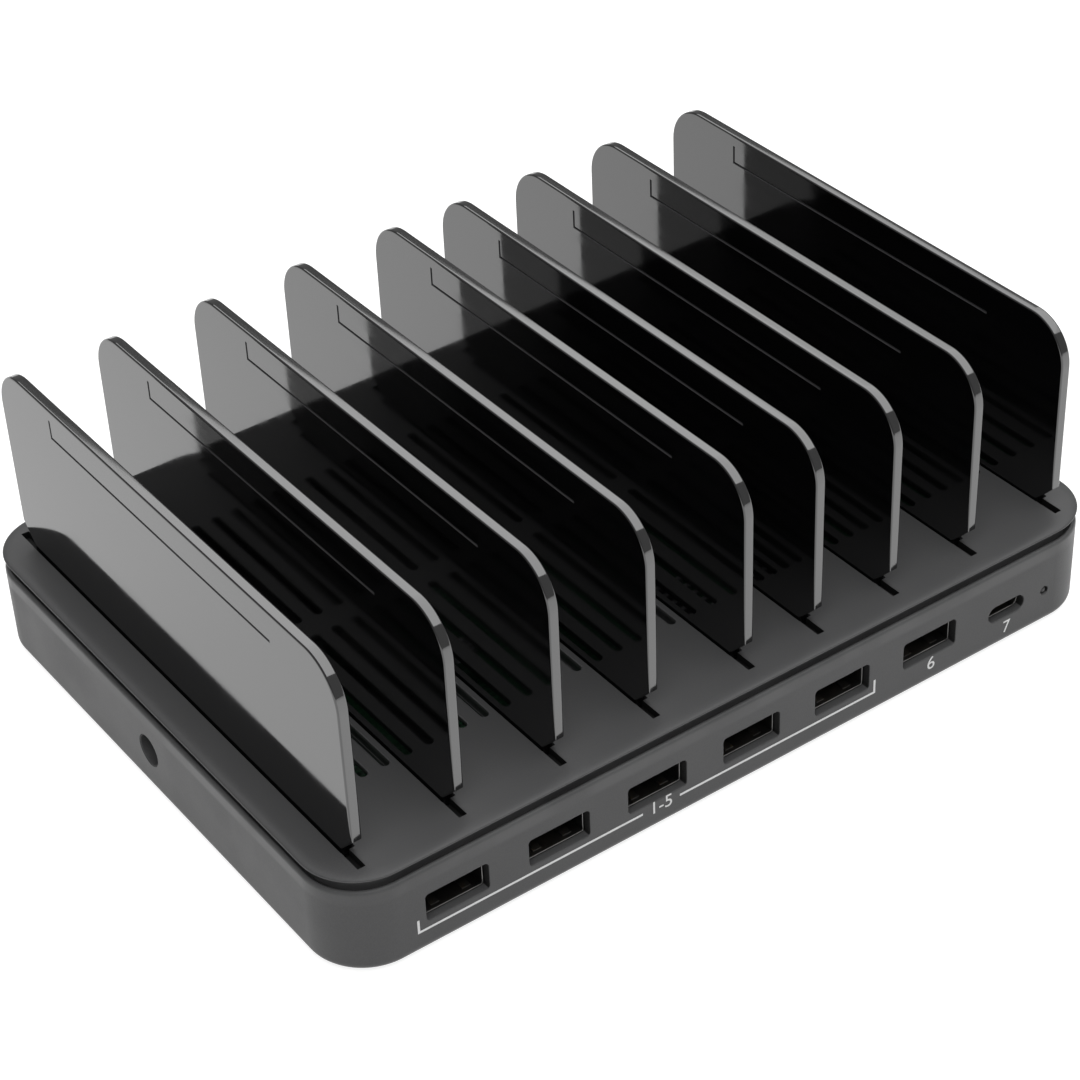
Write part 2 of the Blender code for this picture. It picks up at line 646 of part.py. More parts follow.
def make_usb_c_port(parts, case, metal, plastic):
    """The USB-C port: an oval shell with a tongue in its middle."""
    size = (USB_C_OUTER_WIDTH, USB_C_OUTER_HEIGHT, USB_C_OUTER_HEIGHT / 2)
    shell = port_shell("usb_c_shell", size, USB_C_LENGTH, metal, SMALL_ROUND_STEPS)
    back = PORT_SHEET + FIT_GAP - USB_C_LENGTH
    lengths = (back, back + USB_C_BLOCK_LENGTH, -TONGUE_SET_BACK)
    height = USB_C_HEIGHT - 2 * FIT_GAP
    block = (USB_C_WIDTH - 2 * FIT_GAP, height, height / 2)
    tongue = (USB_C_TONGUE_WIDTH, USB_C_TONGUE_THICKNESS, USB_C_TONGUE_THICKNESS / 2)
    insert = port_tongue("usb_c_tongue", block, tongue, lengths, 0.0, plastic)
    x = LEFT + USB_C_PLACE_SHARE * CASE_LENGTH
    place = ((x, FRONT + PORT_SET_BACK, USB_C_CENTRE), (math.pi / 2, 0.0, 0.0))
    place_object("usb_c_shell", shell, parts, case, *place)
    place_object("usb_c_tongue", insert, parts, case, *place)


def make_status_light(parts, helpers, case, material):
    """The status light: a lens in the front wall on a body that stands on the board."""
    x = LEFT + LIGHT_PLACE_SHARE * CASE_LENGTH
    body_front = FRONT + WALL + FIT_GAP
    half = LIGHT_BODY_WIDTH / 2
    mesh = bmesh.new()
    add_box(
        mesh,
        (x - half, body_front, BOARD_SEAT),
        (x + half, body_front + LIGHT_BODY_LENGTH, BOARD_SEAT + LIGHT_BODY_HEIGHT),
    )
    light = place_object("status_light", to_mesh(mesh, "status_light", material), parts, case)
    lens = bmesh.new()
    inner = -WALL - FIT_GAP - LIGHT_BODY_LENGTH / 2
    rings = [circle(LIGHT_RADIUS, inner), circle(LIGHT_RADIUS, -LIGHT_SET_BACK)]
    draw_out(lens, rings, front_place(x, LIGHT_CENTRE))
    combine(light, "UNION", make_helper("status_light_lens", lens, helpers, case))


def make_power_inlet(parts, helpers, case, plastic, metal):
    """The round power inlet: a square body behind the left wall, and the pin that stands in its bore."""
    place = ((JACK_FRONT, JACK_OFFSET, USB_A_CENTRE), (0.0, -math.pi / 2, 0.0))
    half = JACK_BODY / 2
    mesh = bmesh.new()
    add_box(mesh, (-half, -half, -JACK_LENGTH), (half, half, 0.0))
    body = place_object("dc_jack_body", to_mesh(mesh, "dc_jack_body", plastic), parts, case, *place)
    bore_end = JACK_BACK - JACK_LENGTH
    seat = JACK_PIN_RADIUS + FIT_GAP
    bore = bmesh.new()
    rings = [circle(seat, bore_end - JACK_PIN_SEAT), circle(seat, bore_end)]
    rings += [circle(JACK_BORE_RADIUS, bore_end), circle(JACK_BORE_RADIUS, CUT_OVERRUN)]
    draw_out(bore, rings)
    cutter = make_helper("dc_jack_bore", bore, helpers, case, place[0])
    cutter.rotation_euler = place[1]
    combine(body, "DIFFERENCE", cutter)
    foot, tip = bore_end - JACK_PIN_SEAT + FIT_GAP, -JACK_PIN_SET_BACK
    pin = bmesh.new()
    rings = [circle(JACK_PIN_RADIUS, foot), circle(JACK_PIN_RADIUS, tip - JACK_PIN_EDGE)]
    draw_out(pin, rings + [circle(JACK_PIN_RADIUS - JACK_PIN_EDGE, tip)])
    place_object("dc_jack_pin", to_mesh(pin, "dc_jack_pin", metal), parts, case, *place)


def board_place(length_share, depth_share):
    """A place on the board behind the ports."""
    x = BOARD_LEFT + length_share * BOARD_LENGTH
    y = PORTS_BACK + depth_share * (BOARD_BACK - PORTS_BACK)
    return x, y, BOARD_SEAT


def make_capacitors(parts, helpers, case, material):
    """Round capacitor cans, which stand under the second bay, between two pockets."""
    edge, waist = CAPACITOR_EDGE, CAPACITOR_WAIST
    radius, height = CAPACITOR_RADIUS, CAPACITOR_HEIGHT
    profile = [(0.0, height), (radius - edge, height), (radius, height - edge), (radius, 3 * edge)]
    profile += [(radius - waist, 2 * edge), (radius, edge), (radius, 0.0), (0.0, 0.0)]
    can = turned("capacitor", profile, ROUND_STEPS, material, helpers)
    x = (DIVIDER_PLACES[1] + DIVIDER_PLACES[2]) / 2
    for number, share in enumerate(CAPACITOR_DEPTH_SHARES, 1):
        _, y, z = board_place(0.0, share)
        place_object(f"capacitor_{number}", can, parts, case, (x, y, z))


def make_inductors(parts, case, material):
    """Moulded inductor blocks with cut corners."""
    mesh = bmesh.new()
    side, edge = INDUCTOR_SIDE, INDUCTOR_EDGE
    levels = ((0.0, 0.0), (0.0, INDUCTOR_HEIGHT - INDUCTOR_TOP_EDGE), (INDUCTOR_TOP_EDGE, INDUCTOR_HEIGHT))
    draw_out(mesh, [outline(side - 2 * inset, side - 2 * inset, edge, height, 1) for inset, height in levels])
    block = to_mesh(mesh, "inductor", material)
    for number, share in enumerate(INDUCTOR_LENGTH_SHARES, 1):
        place_object(f"inductor_{number}", block, parts, case, board_place(share, INDUCTOR_DEPTH_SHARE))


def make_heat_sink(parts, case, material):
    """A finned heat sink, drawn out along X from its end view."""
    pitch = (SINK_DEPTH - SINK_FIN) / (SINK_FIN_COUNT - 1)
    half = SINK_DEPTH / 2
    profile = [(half, 0.0), (-half, 0.0)]
    for index in range(SINK_FIN_COUNT):
        start = -half + index * pitch
        end = start + SINK_FIN
        if index:
            profile.append((start, SINK_BASE))
        profile += [(start, SINK_HEIGHT), (end, SINK_HEIGHT)]
        if index < SINK_FIN_COUNT - 1:
            profile.append((end, SINK_BASE))
    mesh = bmesh.new()
    ends = (-SINK_LENGTH / 2, SINK_LENGTH / 2)
    draw_out(mesh, [[Vector((x, y, z)) for y, z in profile] for x in ends])
    data = to_mesh(mesh, "heat_sink", material)
    place_object("heat_sink", data, parts, case, board_place(*SINK_PLACE_SHARES))


def make_chip(parts, case, material):
    """The charging controller, a flat chip."""
    mesh = bmesh.new()
    half = CHIP_SIDE / 2
    add_box(mesh, (-half, -half, 0.0), (half, half, CHIP_HEIGHT))
    data = to_mesh(mesh, "controller_chip", material)
    place_object("controller_chip", data, parts, case, board_place(*CHIP_PLACE_SHARES))


def make_board_screws(parts, helpers, case, material):
    """The screws that hold the board to its standoffs."""
    head, radius, top = BOARD_SCREW_HEAD_RADIUS, BOARD_SCREW_RADIUS, BOARD_SCREW_HEAD_HEIGHT
    tip = BOARD_SCREW_FLOOR + FIT_GAP - BOARD_SEAT
    edge = BOARD_SCREW_HEAD_EDGE
    profile = [(0.0, top), (head - edge, top), (head, top - edge), (head, 0.0)]
    profile += [(radius, 0.0), (radius, tip), (0.0, tip)]
    screw = turned("board_screw", profile, SMALL_ROUND_STEPS, material, helpers)
    for number, (x, y) in enumerate(BOARD_SCREW_PLACES, 1):
        place_object(f"board_screw_{number}", screw, parts, case, (x, y, BOARD_SEAT))


def make_case_screws(parts, helpers, case, material):
    """The screws that pull shell and cover together, heads down over the feet, a round socket in each."""
    head, radius, socket = SCREW_HEAD_RADIUS, SCREW_RADIUS, SCREW_SOCKET_RADIUS
    tip = PILOT_TOP - FIT_GAP - (HEAD_SEAT - FIT_GAP)
    low = -SCREW_HEAD_HEIGHT
    profile = [(0.0, tip), (radius, tip), (radius, 0.0), (head, 0.0), (head, low)]
    profile += [(socket, low), (socket, low + SCREW_SOCKET_DEPTH), (0.0, low + SCREW_SOCKET_DEPTH)]
    screw = turned("case_screw", profile, SMALL_ROUND_STEPS, material, helpers)
    for number, (x, y) in enumerate(SCREW_PLACES, 1):
        place_object(f"case_screw_{number}", screw, parts, case, (x, y, HEAD_SEAT - FIT_GAP))


def make_feet(parts, helpers, case, material):
    """Four rubber feet, each let into the floor over a case screw."""
    top = FOOT_RECESS - FIT_GAP
    profile = [(0.0, top), (FOOT_RADIUS, top), (FOOT_RADIUS, FOOT_EDGE - FOOT_STAND)]
    profile += [(FOOT_RADIUS - FOOT_EDGE, -FOOT_STAND), (0.0, -FOOT_STAND)]
    foot = turned("rubber_foot", profile, ROUND_STEPS, material, helpers)
    for number, (x, y) in enumerate(SCREW_PLACES, 1):
        place_object(f"rubber_foot_{number}", foot, parts, case, (x, y, 0.0))


def main():
    """Builds the charging station."""
    clear_scene()
    parts, helpers = make_collections()
    case = place_object("case", None, parts, None, (0.0, 0.0, FOOT_STAND))
    moulding = finish("dark_grey_case_plastic", (0.045, 0.045, 0.047), 0.62)
    gloss = finish("black_gloss_divider_plastic", (0.008, 0.008, 0.009), 0.12)
    black = finish("black_insert_plastic", (0.012, 0.012, 0.012), 0.5)
    nickel = finish("black_nickel_plate", (0.16, 0.16, 0.16), 0.3, 1.0)
    steel = finish("zinc_plated_steel", (0.5, 0.5, 0.5), 0.4, 1.0)
    make_bottom_shell(parts, helpers, case, moulding)
    make_top_cover(parts, helpers, case, moulding)
    make_dividers(parts, helpers, case, gloss)
    make_board(parts, helpers, case, finish("green_circuit_board", (0.01, 0.09, 0.03), 0.45))
    make_usb_a_ports(parts, case, nickel, black)
    make_usb_c_port(parts, case, nickel, black)
    make_status_light(parts, helpers, case, finish("clear_lens", (0.35, 0.36, 0.37), 0.15))
    make_power_inlet(parts, helpers, case, black, nickel)
    make_capacitors(parts, helpers, case, finish("capacitor_can", (0.55, 0.55, 0.56), 0.35, 1.0))
    make_inductors(parts, case, finish("inductor_block", (0.03, 0.03, 0.032), 0.7))
    make_heat_sink(parts, case, finish("sink_aluminium", (0.62, 0.62, 0.63), 0.35, 1.0))
    make_chip(parts, case, finish("chip_resin", (0.015, 0.015, 0.016), 0.55))
    make_board_screws(parts, helpers, case, steel)
    make_case_screws(parts, helpers, case, steel)
    make_feet(parts, helpers, case, finish("black_rubber", (0.02, 0.02, 0.02), 0.85))


main()
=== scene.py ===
"""The USB charging station as it looks: moulded case, polished dividers, ports, finishes, light and camera.

Metres, +Z up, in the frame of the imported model. The ports face -Y, and the feet stand on z = 0.
"""

import logging
import math
from collections.abc import Iterable, Sequence
from dataclasses import dataclass
from enum import Enum

import bmesh
import bpy
from mathutils import Matrix, Vector


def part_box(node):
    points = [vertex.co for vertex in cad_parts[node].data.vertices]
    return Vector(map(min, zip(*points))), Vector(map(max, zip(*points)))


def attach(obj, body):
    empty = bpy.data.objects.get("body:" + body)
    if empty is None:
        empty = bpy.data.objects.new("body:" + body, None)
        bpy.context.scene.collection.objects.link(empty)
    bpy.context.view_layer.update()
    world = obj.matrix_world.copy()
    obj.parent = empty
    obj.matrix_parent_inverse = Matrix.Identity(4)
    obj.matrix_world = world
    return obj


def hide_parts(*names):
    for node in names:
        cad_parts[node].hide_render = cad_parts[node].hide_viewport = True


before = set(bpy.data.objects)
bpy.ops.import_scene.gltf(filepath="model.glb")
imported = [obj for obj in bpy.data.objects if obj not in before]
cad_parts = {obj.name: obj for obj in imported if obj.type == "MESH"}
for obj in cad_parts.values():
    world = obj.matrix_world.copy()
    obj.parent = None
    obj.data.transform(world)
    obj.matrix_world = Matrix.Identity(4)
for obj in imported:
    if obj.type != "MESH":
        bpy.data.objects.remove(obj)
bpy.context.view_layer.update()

LOG = logging.getLogger("charging_station")

MM = 0.001
QUARTER_TURN = math.pi / 2
CREASE_ANGLE = math.radians(32)  # an edge that turns further stays sharp
GAP = 0.3 * MM  # between pieces that seat on, or fit in, each other
OVERRUN = 1.0 * MM  # how far a cutting shape runs past the face that it opens
INK_THICKNESS = 0.02 * MM  # the tray's walls stand back by it, so that the print lies inside the CAD box
CASE_BODY = "case"
POINT_DIGITS = 9  # coordinates are rounded to it, so that points that fall together become one
FLAT_FACE_WEIGHT = 100  # how much a large flat face counts in its edges' normals
GRAIN_DETAIL = 3.0
CLOUD_DETAIL = 4.0
MIX_SHARE, MIX_FIRST, MIX_SECOND, MIX_RESULT = 0, 6, 7, 2  # sockets of a Mix node that mixes colours

Pair = tuple[float, float]
Colour = tuple[float, float, float]
Stretch = tuple[float, float, float]
Place = tuple[float, float, float]
Ring = list[Vector]


class Slot(Enum):
    """The record's material slots."""

    CASE = "case_plastic"
    DIVIDER = "divider_plastic"
    INSERT = "insert_plastic"
    METAL = "port_metal"
    BOARD = "circuit_board"
    LENS = "lens"
    CAN = "capacitor_can"
    INDUCTOR = "inductor_block"
    SINK = "sink_aluminium"
    CHIP = "chip_resin"
    SCREW = "screw_steel"
    FOOT = "foot_rubber"


class Work(Enum):
    """What a helping shape does to a blank."""

    JOIN = "UNION"
    CUT = "DIFFERENCE"


class NodeSheet:
    """The nodes of one material while they are laid out."""

    def __init__(self, name: str) -> None:
        """Starts a material with a plain shader.

        Args:
            name: the material's name.
        """
        self.material = bpy.data.materials.new(name)
        self.material.use_nodes = True
        self.tree = self.material.node_tree
        self.shader = self.tree.nodes["Principled BSDF"]
        self.place = self.add("ShaderNodeTexCoord").outputs["Object"]

    def add(
        self, kind: str, inputs: dict[str | int, object] | None = None, **settings: object
    ) -> bpy.types.Node:
        """Adds a node.

        Args:
            kind: the node's type.
            inputs: a value, or another node's output, for each socket's name or number.
            settings: the node's own settings.

        Returns:
            The node.
        """
        node = self.tree.nodes.new(kind)
        for setting, value in settings.items():
            setattr(node, setting, value)
        for key, value in (inputs or {}).items():
            self.feed(node.inputs[key], value)
        return node

    def feed(self, socket: bpy.types.NodeSocket, value: object) -> None:
        """Sets a socket, or links another node's output to it.

        Args:
            socket: the socket that is fed.
            value: a plain value or a node's output.
        """
        if isinstance(value, bpy.types.NodeSocket):
            self.tree.links.new(value, socket)
        else:
            socket.default_value = value

    def set(self, values: dict[str, object]) -> None:
        """Feeds the shader's sockets, by their names."""
        for name, value in values.items():
            self.feed(self.shader.inputs[name], value)

    def speckle(
        self, size: float, detail: float = 2.0, stretch: Stretch = (1.0, 1.0, 1.0)
    ) -> bpy.types.NodeSocket:
        """Cloudy noise.

        Args:
            size: the size of a speckle.
            detail: how many finer layers it has.
            stretch: how much longer a speckle is along X, Y and Z.

        Returns:
            A share from 0 to 1.
        """
        scale = [1 / (size * factor) for factor in stretch]
        place = self.add("ShaderNodeMapping", {"Vector": self.place, "Scale": scale})
        noise = self.add("ShaderNodeTexNoise", {"Vector": place.outputs[0], "Scale": 1.0, "Detail": detail})
        return noise.outputs[0]

    def spread(
        self, share: object, low: float, high: float, start: float = 0.3, end: float = 0.7
    ) -> bpy.types.NodeSocket:
        """A share mapped smoothly, so that start and less give low, and end and more give high."""
        inputs = {"Value": share, "From Min": start, "From Max": end, "To Min": low, "To Max": high}
        return self.add("ShaderNodeMapRange", inputs, interpolation_type="SMOOTHSTEP").outputs[0]

    def product(self, first: object, second: object) -> bpy.types.NodeSocket:
        """Two numbers multiplied."""
        return self.add("ShaderNodeMath", {0: first, 1: second}, operation="MULTIPLY").outputs[0]

    def larger(self, first: object, second: object) -> bpy.types.NodeSocket:
        """The larger of two numbers."""
        return self.add("ShaderNodeMath", {0: first, 1: second}, operation="MAXIMUM").outputs[0]

    def tint(self, share: object, first: Colour, second: Colour) -> bpy.types.NodeSocket:
        """A colour between two, which is the first at a share of 0 and the second at 1."""
        inputs = {MIX_SHARE: share, MIX_FIRST: (*first, 1.0), MIX_SECOND: (*second, 1.0)}
        return self.add("ShaderNodeMix", inputs, data_type="RGBA").outputs[MIX_RESULT]

    def relief(self, height: object, depth: float, over: object = None) -> bpy.types.NodeSocket:
        """A bumpy surface.

        Args:
            height: the share that rises.
            depth: how far it rises, in metres.
            over: the normal of a relief that this one lies on.

        Returns:
            The normal.
        """
        inputs = {"Height": height, "Distance": depth, "Strength": 1.0}
        if over is not None:
            inputs["Normal"] = over
        return self.add("ShaderNodeBump", inputs).outputs[0]

    def height_band(self, low: float, high: float, soft: float) -> bpy.types.NodeSocket:
        """A band of heights, for wear along an edge that runs round the case.

        Args:
            low: the band's lower limit.
            high: its upper limit.
            soft: how far it fades at each limit.

        Returns:
            1 in the band and 0 outside it.
        """
        height = self.add("ShaderNodeSeparateXYZ", {"Vector": self.place}).outputs["Z"]
        rising = self.spread(height, 0.0, 1.0, low - soft, low)
        return self.product(rising, self.spread(height, 1.0, 0.0, high, high + soft))


@dataclass(frozen=True)
class Finish:
    """What every finish has: a name, and the record's slot that it belongs to."""

    name: str
    slot: Slot

    def lay_out(self, sheet: NodeSheet) -> None:
        """Lays out the finish's nodes on a sheet."""
        raise NotImplementedError

    def material(self) -> bpy.types.Material:
        """The finish's material, made at its first use.

        Returns:
            The material.
        """
        found = bpy.data.materials.get(self.name)
        if found:
            return found
        sheet = NodeSheet(self.name)
        self.lay_out(sheet)
        return sheet.material


@dataclass(frozen=True)
class MouldedPlastic(Finish):
    """Matt plastic from a finely etched mould, a little smoother along some edges, where a paler painted
    highlight lies in patches.
    """

    colour: Colour = (0.048, 0.048, 0.049)
    mottle: Colour = (0.056, 0.056, 0.057)
    highlight_colour: Colour = (0.07, 0.07, 0.071)
    roughness: Pair = (0.44, 0.5)
    highlight_band_roughness: float = 0.38
    ior: float = 1.4
    grain_size: float = 0.32 * MM
    grain_depth: float = 0.014 * MM
    swirl_size: float = 14 * MM
    highlight_share: Pair = (0.2, 0.9)
    highlight_patches: Pair = (0.35, 0.6)
    highlight_bands: tuple[Pair, ...] = ()
    band_softness: float = 0.3 * MM

    def lay_out(self, sheet: NodeSheet) -> None:
        """Lays out grain, mottle and bands of painted highlight.

        Args:
            sheet: where the nodes go.
        """
        grain = sheet.speckle(self.grain_size, GRAIN_DETAIL)
        swirl = sheet.speckle(self.swirl_size, CLOUD_DETAIL)
        highlight_mask: object = 0.0
        for low, high in self.highlight_bands:
            highlight_mask = sheet.larger(highlight_mask, sheet.height_band(low, high, self.band_softness))
        # painted highlight: in the bands the colour is lifted to a paler grey, in patches, and the roughness
        # drops
        highlight_mask = sheet.product(highlight_mask, sheet.spread(swirl, *self.highlight_share, *self.highlight_patches))
        plain = sheet.tint(sheet.spread(grain, 0.0, 1.0), self.colour, self.mottle)
        mixed = {MIX_SHARE: highlight_mask, MIX_FIRST: plain, MIX_SECOND: (*self.highlight_colour, 1.0)}
        colour = sheet.add("ShaderNodeMix", mixed, data_type="RGBA")
        plain_roughness = sheet.spread(swirl, *self.roughness)
        inputs = {"Value": highlight_mask, "To Min": plain_roughness, "To Max": self.highlight_band_roughness}
        roughness = sheet.add("ShaderNodeMapRange", inputs)
        sheet.set(
            {
                "Base Color": colour.outputs[MIX_RESULT],
                "Roughness": roughness.outputs[0],
                "IOR": self.ior,
                "Normal": sheet.relief(grain, self.grain_depth),
            }
        )


@dataclass(frozen=True)
class PolishedPlastic(Finish):
    """Near black plastic polished like a mirror, with a faint waviness and fine wiping marks."""

    colour: Colour = (0.0012, 0.0012, 0.0013)
    roughness: Pair = (0.05, 0.09)
    ior: float = 1.85
    wave_size: float = 24 * MM
    wave_depth: float = 0.004 * MM
    wipe_gain: float = 2.0
    wipe_size: float = 0.5 * MM
    wipe_stretch: Stretch = (1.0, 30.0, 6.0)

    def lay_out(self, sheet: NodeSheet) -> None:
        """Lays out waviness and wiping marks.

        Args:
            sheet: where the nodes go.
        """
        wipes = sheet.speckle(self.wipe_size, 2.0, self.wipe_stretch)
        waves = sheet.speckle(self.wave_size, 0.0)
        streak = tuple(self.wipe_gain * part for part in self.colour)
        sheet.set(
            {
                "Base Color": sheet.tint(wipes, self.colour, streak),
                "Roughness": sheet.spread(wipes, *self.roughness),
                "IOR": self.ior,
                "Normal": sheet.relief(waves, self.wave_depth),
            }
        )


@dataclass(frozen=True)
class FinePlastic(Finish):
    """A plain plastic, rubber, resin or ink with a fine grain."""

    colour: Colour = (0.012, 0.012, 0.012)
    mottle: Colour = (0.016, 0.016, 0.016)
    roughness: Pair = (0.4, 0.5)
    grain_size: float = 0.2 * MM
    grain_depth: float = 0.005 * MM

    def lay_out(self, sheet: NodeSheet) -> None:
        """Lays out grain and mottle.

        Args:
            sheet: where the nodes go.
        """
        grain = sheet.speckle(self.grain_size, GRAIN_DETAIL)
        sheet.set(
            {
                "Base Color": sheet.tint(sheet.spread(grain, 0.0, 1.0), self.colour, self.mottle),
                "Roughness": sheet.spread(grain, *self.roughness),
                "Normal": sheet.relief(grain, self.grain_depth),
            }
        )


@dataclass(frozen=True)
class WorkedMetal(Finish):
    """A rolled, plated or extruded metal, with drawing marks along one direction."""

    colour: Colour = (0.5, 0.5, 0.5)
    stain: Colour = (0.4, 0.4, 0.4)
    roughness: Pair = (0.25, 0.4)
    mark_size: float = 0.08 * MM
    mark_stretch: Stretch = (1.0, 20.0, 1.0)
    mark_depth: float = 0.002 * MM
    stain_size: float = 3 * MM

    def lay_out(self, sheet: NodeSheet) -> None:
        """Lays out drawing marks and stains.

        Args:
            sheet: where the nodes go.
        """
        marks = sheet.speckle(self.mark_size, 2.0, self.mark_stretch)
        stains = sheet.speckle(self.stain_size, CLOUD_DETAIL)
        sheet.set(
            {
                "Base Color": sheet.tint(sheet.spread(stains, 0.0, 1.0), self.colour, self.stain),
                "Metallic": 1.0,
                "Roughness": sheet.spread(marks, *self.roughness),
                "Normal": sheet.relief(marks, self.mark_depth),
            }
        )


@dataclass(frozen=True)
class TintedLens(Finish):
    """A small smoky light guide, unlit."""

    colour: Colour = (0.006, 0.006, 0.007)
    cloud: Colour = (0.014, 0.014, 0.015)
    roughness: Pair = (0.3, 0.4)
    cloud_size: float = 0.6 * MM
    cloud_depth: float = 0.002 * MM

    def lay_out(self, sheet: NodeSheet) -> None:
        """Lays out faint clouds under a smooth skin.

        Args:
            sheet: where the nodes go.
        """
        clouds = sheet.speckle(self.cloud_size, GRAIN_DETAIL)
        sheet.set(
            {
                "Base Color": sheet.tint(clouds, self.colour, self.cloud),
                "Roughness": sheet.spread(clouds, *self.roughness),
                "Normal": sheet.relief(clouds, self.cloud_depth),
            }
        )


@dataclass(frozen=True)
class SolderMask(Finish):
    """Green lacquer over a circuit board, with paler copper runs under it."""

    colour: Colour = (0.008, 0.06, 0.022)
    run_colour: Colour = (0.02, 0.13, 0.05)
    roughness: Pair = (0.28, 0.4)
    run_pitch: float = 1.6 * MM
    waves_to_pitch: float = 0.3
    run_bend: float = 3.0
    run_edges: Pair = (0.6, 0.7)
    run_depth: float = 0.02 * MM
    patch_size: float = 9 * MM
    patch_edges: Pair = (0.48, 0.5)
    sheen_size: float = 2 * MM
    lacquer: float = 0.4
    lacquer_roughness: float = 0.15

    def lay_out(self, sheet: NodeSheet) -> None:
        """Lays out copper runs in two directions under the lacquer.

        Args:
            sheet: where the nodes go.
        """
        runs: list[bpy.types.NodeSocket] = []
        for direction in ("X", "Y"):
            scale = self.waves_to_pitch / self.run_pitch
            inputs = {"Vector": sheet.place, "Scale": scale, "Distortion": self.run_bend, "Detail": 0.0}
            wave = sheet.add("ShaderNodeTexWave", inputs, bands_direction=direction)
            runs.append(sheet.spread(wave.outputs[1], 0.0, 1.0, *self.run_edges))
        patches = sheet.spread(sheet.speckle(self.patch_size, 0.0), 0.0, 1.0, *self.patch_edges)
        copper = sheet.larger(sheet.product(runs[0], patches), runs[1])
        sheet.set(
            {
                "Base Color": sheet.tint(copper, self.colour, self.run_colour),
                "Roughness": sheet.spread(sheet.speckle(self.sheen_size), *self.roughness),
                "Coat Weight": self.lacquer,
                "Coat Roughness": self.lacquer_roughness,
                "Normal": sheet.relief(copper, self.run_depth),
            }
        )


DIVIDER_POLISH = PolishedPlastic("black_polished_divider", Slot.DIVIDER)
DIVIDER_RIM = PolishedPlastic("buffed_divider_rim", Slot.DIVIDER, ior=2.1)
LINE_PAINT = FinePlastic(
    "grey_engraving_paint",
    Slot.DIVIDER,
    colour=(0.05, 0.05, 0.052),
    mottle=(0.062, 0.062, 0.064),
    roughness=(0.6, 0.75),
    grain_size=0.15 * MM,
)
# painted shade: a near-black finish for the openings' right jambs and the slot ends, where shade falls
PAINTED_SHADE_BLACK = FinePlastic(
    "painted_shade_black", Slot.CASE, (0.002, 0.002, 0.002), (0.004, 0.004, 0.004), (0.7, 0.85)
)
INSERT_BLACK = FinePlastic("black_port_insert", Slot.INSERT, (0.05, 0.05, 0.05), (0.06, 0.06, 0.06))
INLET_BLACK = FinePlastic("black_inlet_body", Slot.INSERT, (0.008, 0.008, 0.008), (0.012, 0.012, 0.012))
PORT_METAL = WorkedMetal(
    "nickel_plate", Slot.METAL, (0.24, 0.236, 0.23), (0.17, 0.168, 0.166), (0.28, 0.42)
)
INLET_METAL = WorkedMetal(
    "dull_nickel_plate", Slot.METAL, (0.055, 0.053, 0.05), (0.035, 0.034, 0.033), (0.28, 0.42)
)
CONTACT_GOLD = WorkedMetal(
    "gold_plated_contact",
    Slot.METAL,
    colour=(0.72, 0.5, 0.2),
    stain=(0.6, 0.4, 0.15),
    roughness=(0.18, 0.3),
    mark_size=0.05 * MM,
)
WHITE_INK = FinePlastic(
    "white_print_ink",
    Slot.CASE,
    colour=(0.62, 0.62, 0.62),
    mottle=(0.72, 0.72, 0.72),
    roughness=(0.5, 0.62),
    grain_size=0.12 * MM,
    grain_depth=0.002 * MM,
)
LENS = TintedLens("smoky_light_guide", Slot.LENS)
FOOT_RUBBER = FinePlastic(
    "black_foot_rubber",
    Slot.FOOT,
    colour=(0.014, 0.014, 0.014),
    mottle=(0.024, 0.024, 0.024),
    roughness=(0.75, 0.9),
    grain_size=0.35 * MM,
    grain_depth=0.03 * MM,
)
CHIP_RESIN = FinePlastic(
    "black_chip_resin",
    Slot.CHIP,
    colour=(0.014, 0.014, 0.015),
    mottle=(0.024, 0.024, 0.025),
    roughness=(0.5, 0.62),
    grain_size=0.1 * MM,
    grain_depth=0.006 * MM,
)
FERRITE = FinePlastic(
    "grey_ferrite_block",
    Slot.INDUCTOR,
    colour=(0.03, 0.03, 0.032),
    mottle=(0.055, 0.055, 0.057),
    roughness=(0.6, 0.8),
    grain_size=0.25 * MM,
    grain_depth=0.02 * MM,
)
CAN_ALUMINIUM = WorkedMetal(
    "capacitor_can_aluminium",
    Slot.CAN,
    colour=(0.62, 0.62, 0.63),
    stain=(0.5, 0.5, 0.52),
    roughness=(0.22, 0.34),
    mark_size=0.06 * MM,
    mark_stretch=(8.0, 8.0, 1.0),
)
SINK_METAL = WorkedMetal(
    "extruded_sink_aluminium",
    Slot.SINK,
    colour=(0.58, 0.58, 0.6),
    stain=(0.42, 0.42, 0.44),
    roughness=(0.3, 0.45),
    mark_size=0.1 * MM,
    mark_stretch=(30.0, 1.0, 1.0),
)
SCREW_STEEL = WorkedMetal(
    "zinc_plated_steel",
    Slot.SCREW,
    colour=(0.5, 0.5, 0.52),
    stain=(0.34, 0.34, 0.33),
    roughness=(0.3, 0.48),
    mark_size=0.1 * MM,
    mark_stretch=(4.0, 4.0, 1.0),
)
BOARD_MASK = SolderMask("green_solder_mask", Slot.BOARD)


def rounded_ring(size: Pair, radius: float, height: float, steps: int, centre: Pair = (0.0, 0.0)) -> Ring:
    """Points round a rectangle with rounded corners, which a full radius makes round-ended.

    Args:
        size: length along X and depth along Y.
        radius: of the corners.
        height: the ring's place along Z.
        steps: facets to a corner.
        centre: the rectangle's middle.

    Returns:
        The points, anticlockwise.
    """
    points: list[Place] = []
    for corner, (side_x, side_y) in enumerate(((1, 1), (-1, 1), (-1, -1), (1, -1))):
        middle_x = centre[0] + side_x * (size[0] / 2 - radius)
        middle_y = centre[1] + side_y * (size[1] / 2 - radius)
        for step in range(steps + 1):
            angle = (corner + step / steps) * QUARTER_TURN
            x = middle_x + radius * math.cos(angle)
            y = middle_y + radius * math.sin(angle)
            points.append((round(x, POINT_DIGITS), round(y, POINT_DIGITS), height))
    return [Vector(point) for point in dict.fromkeys(points)]


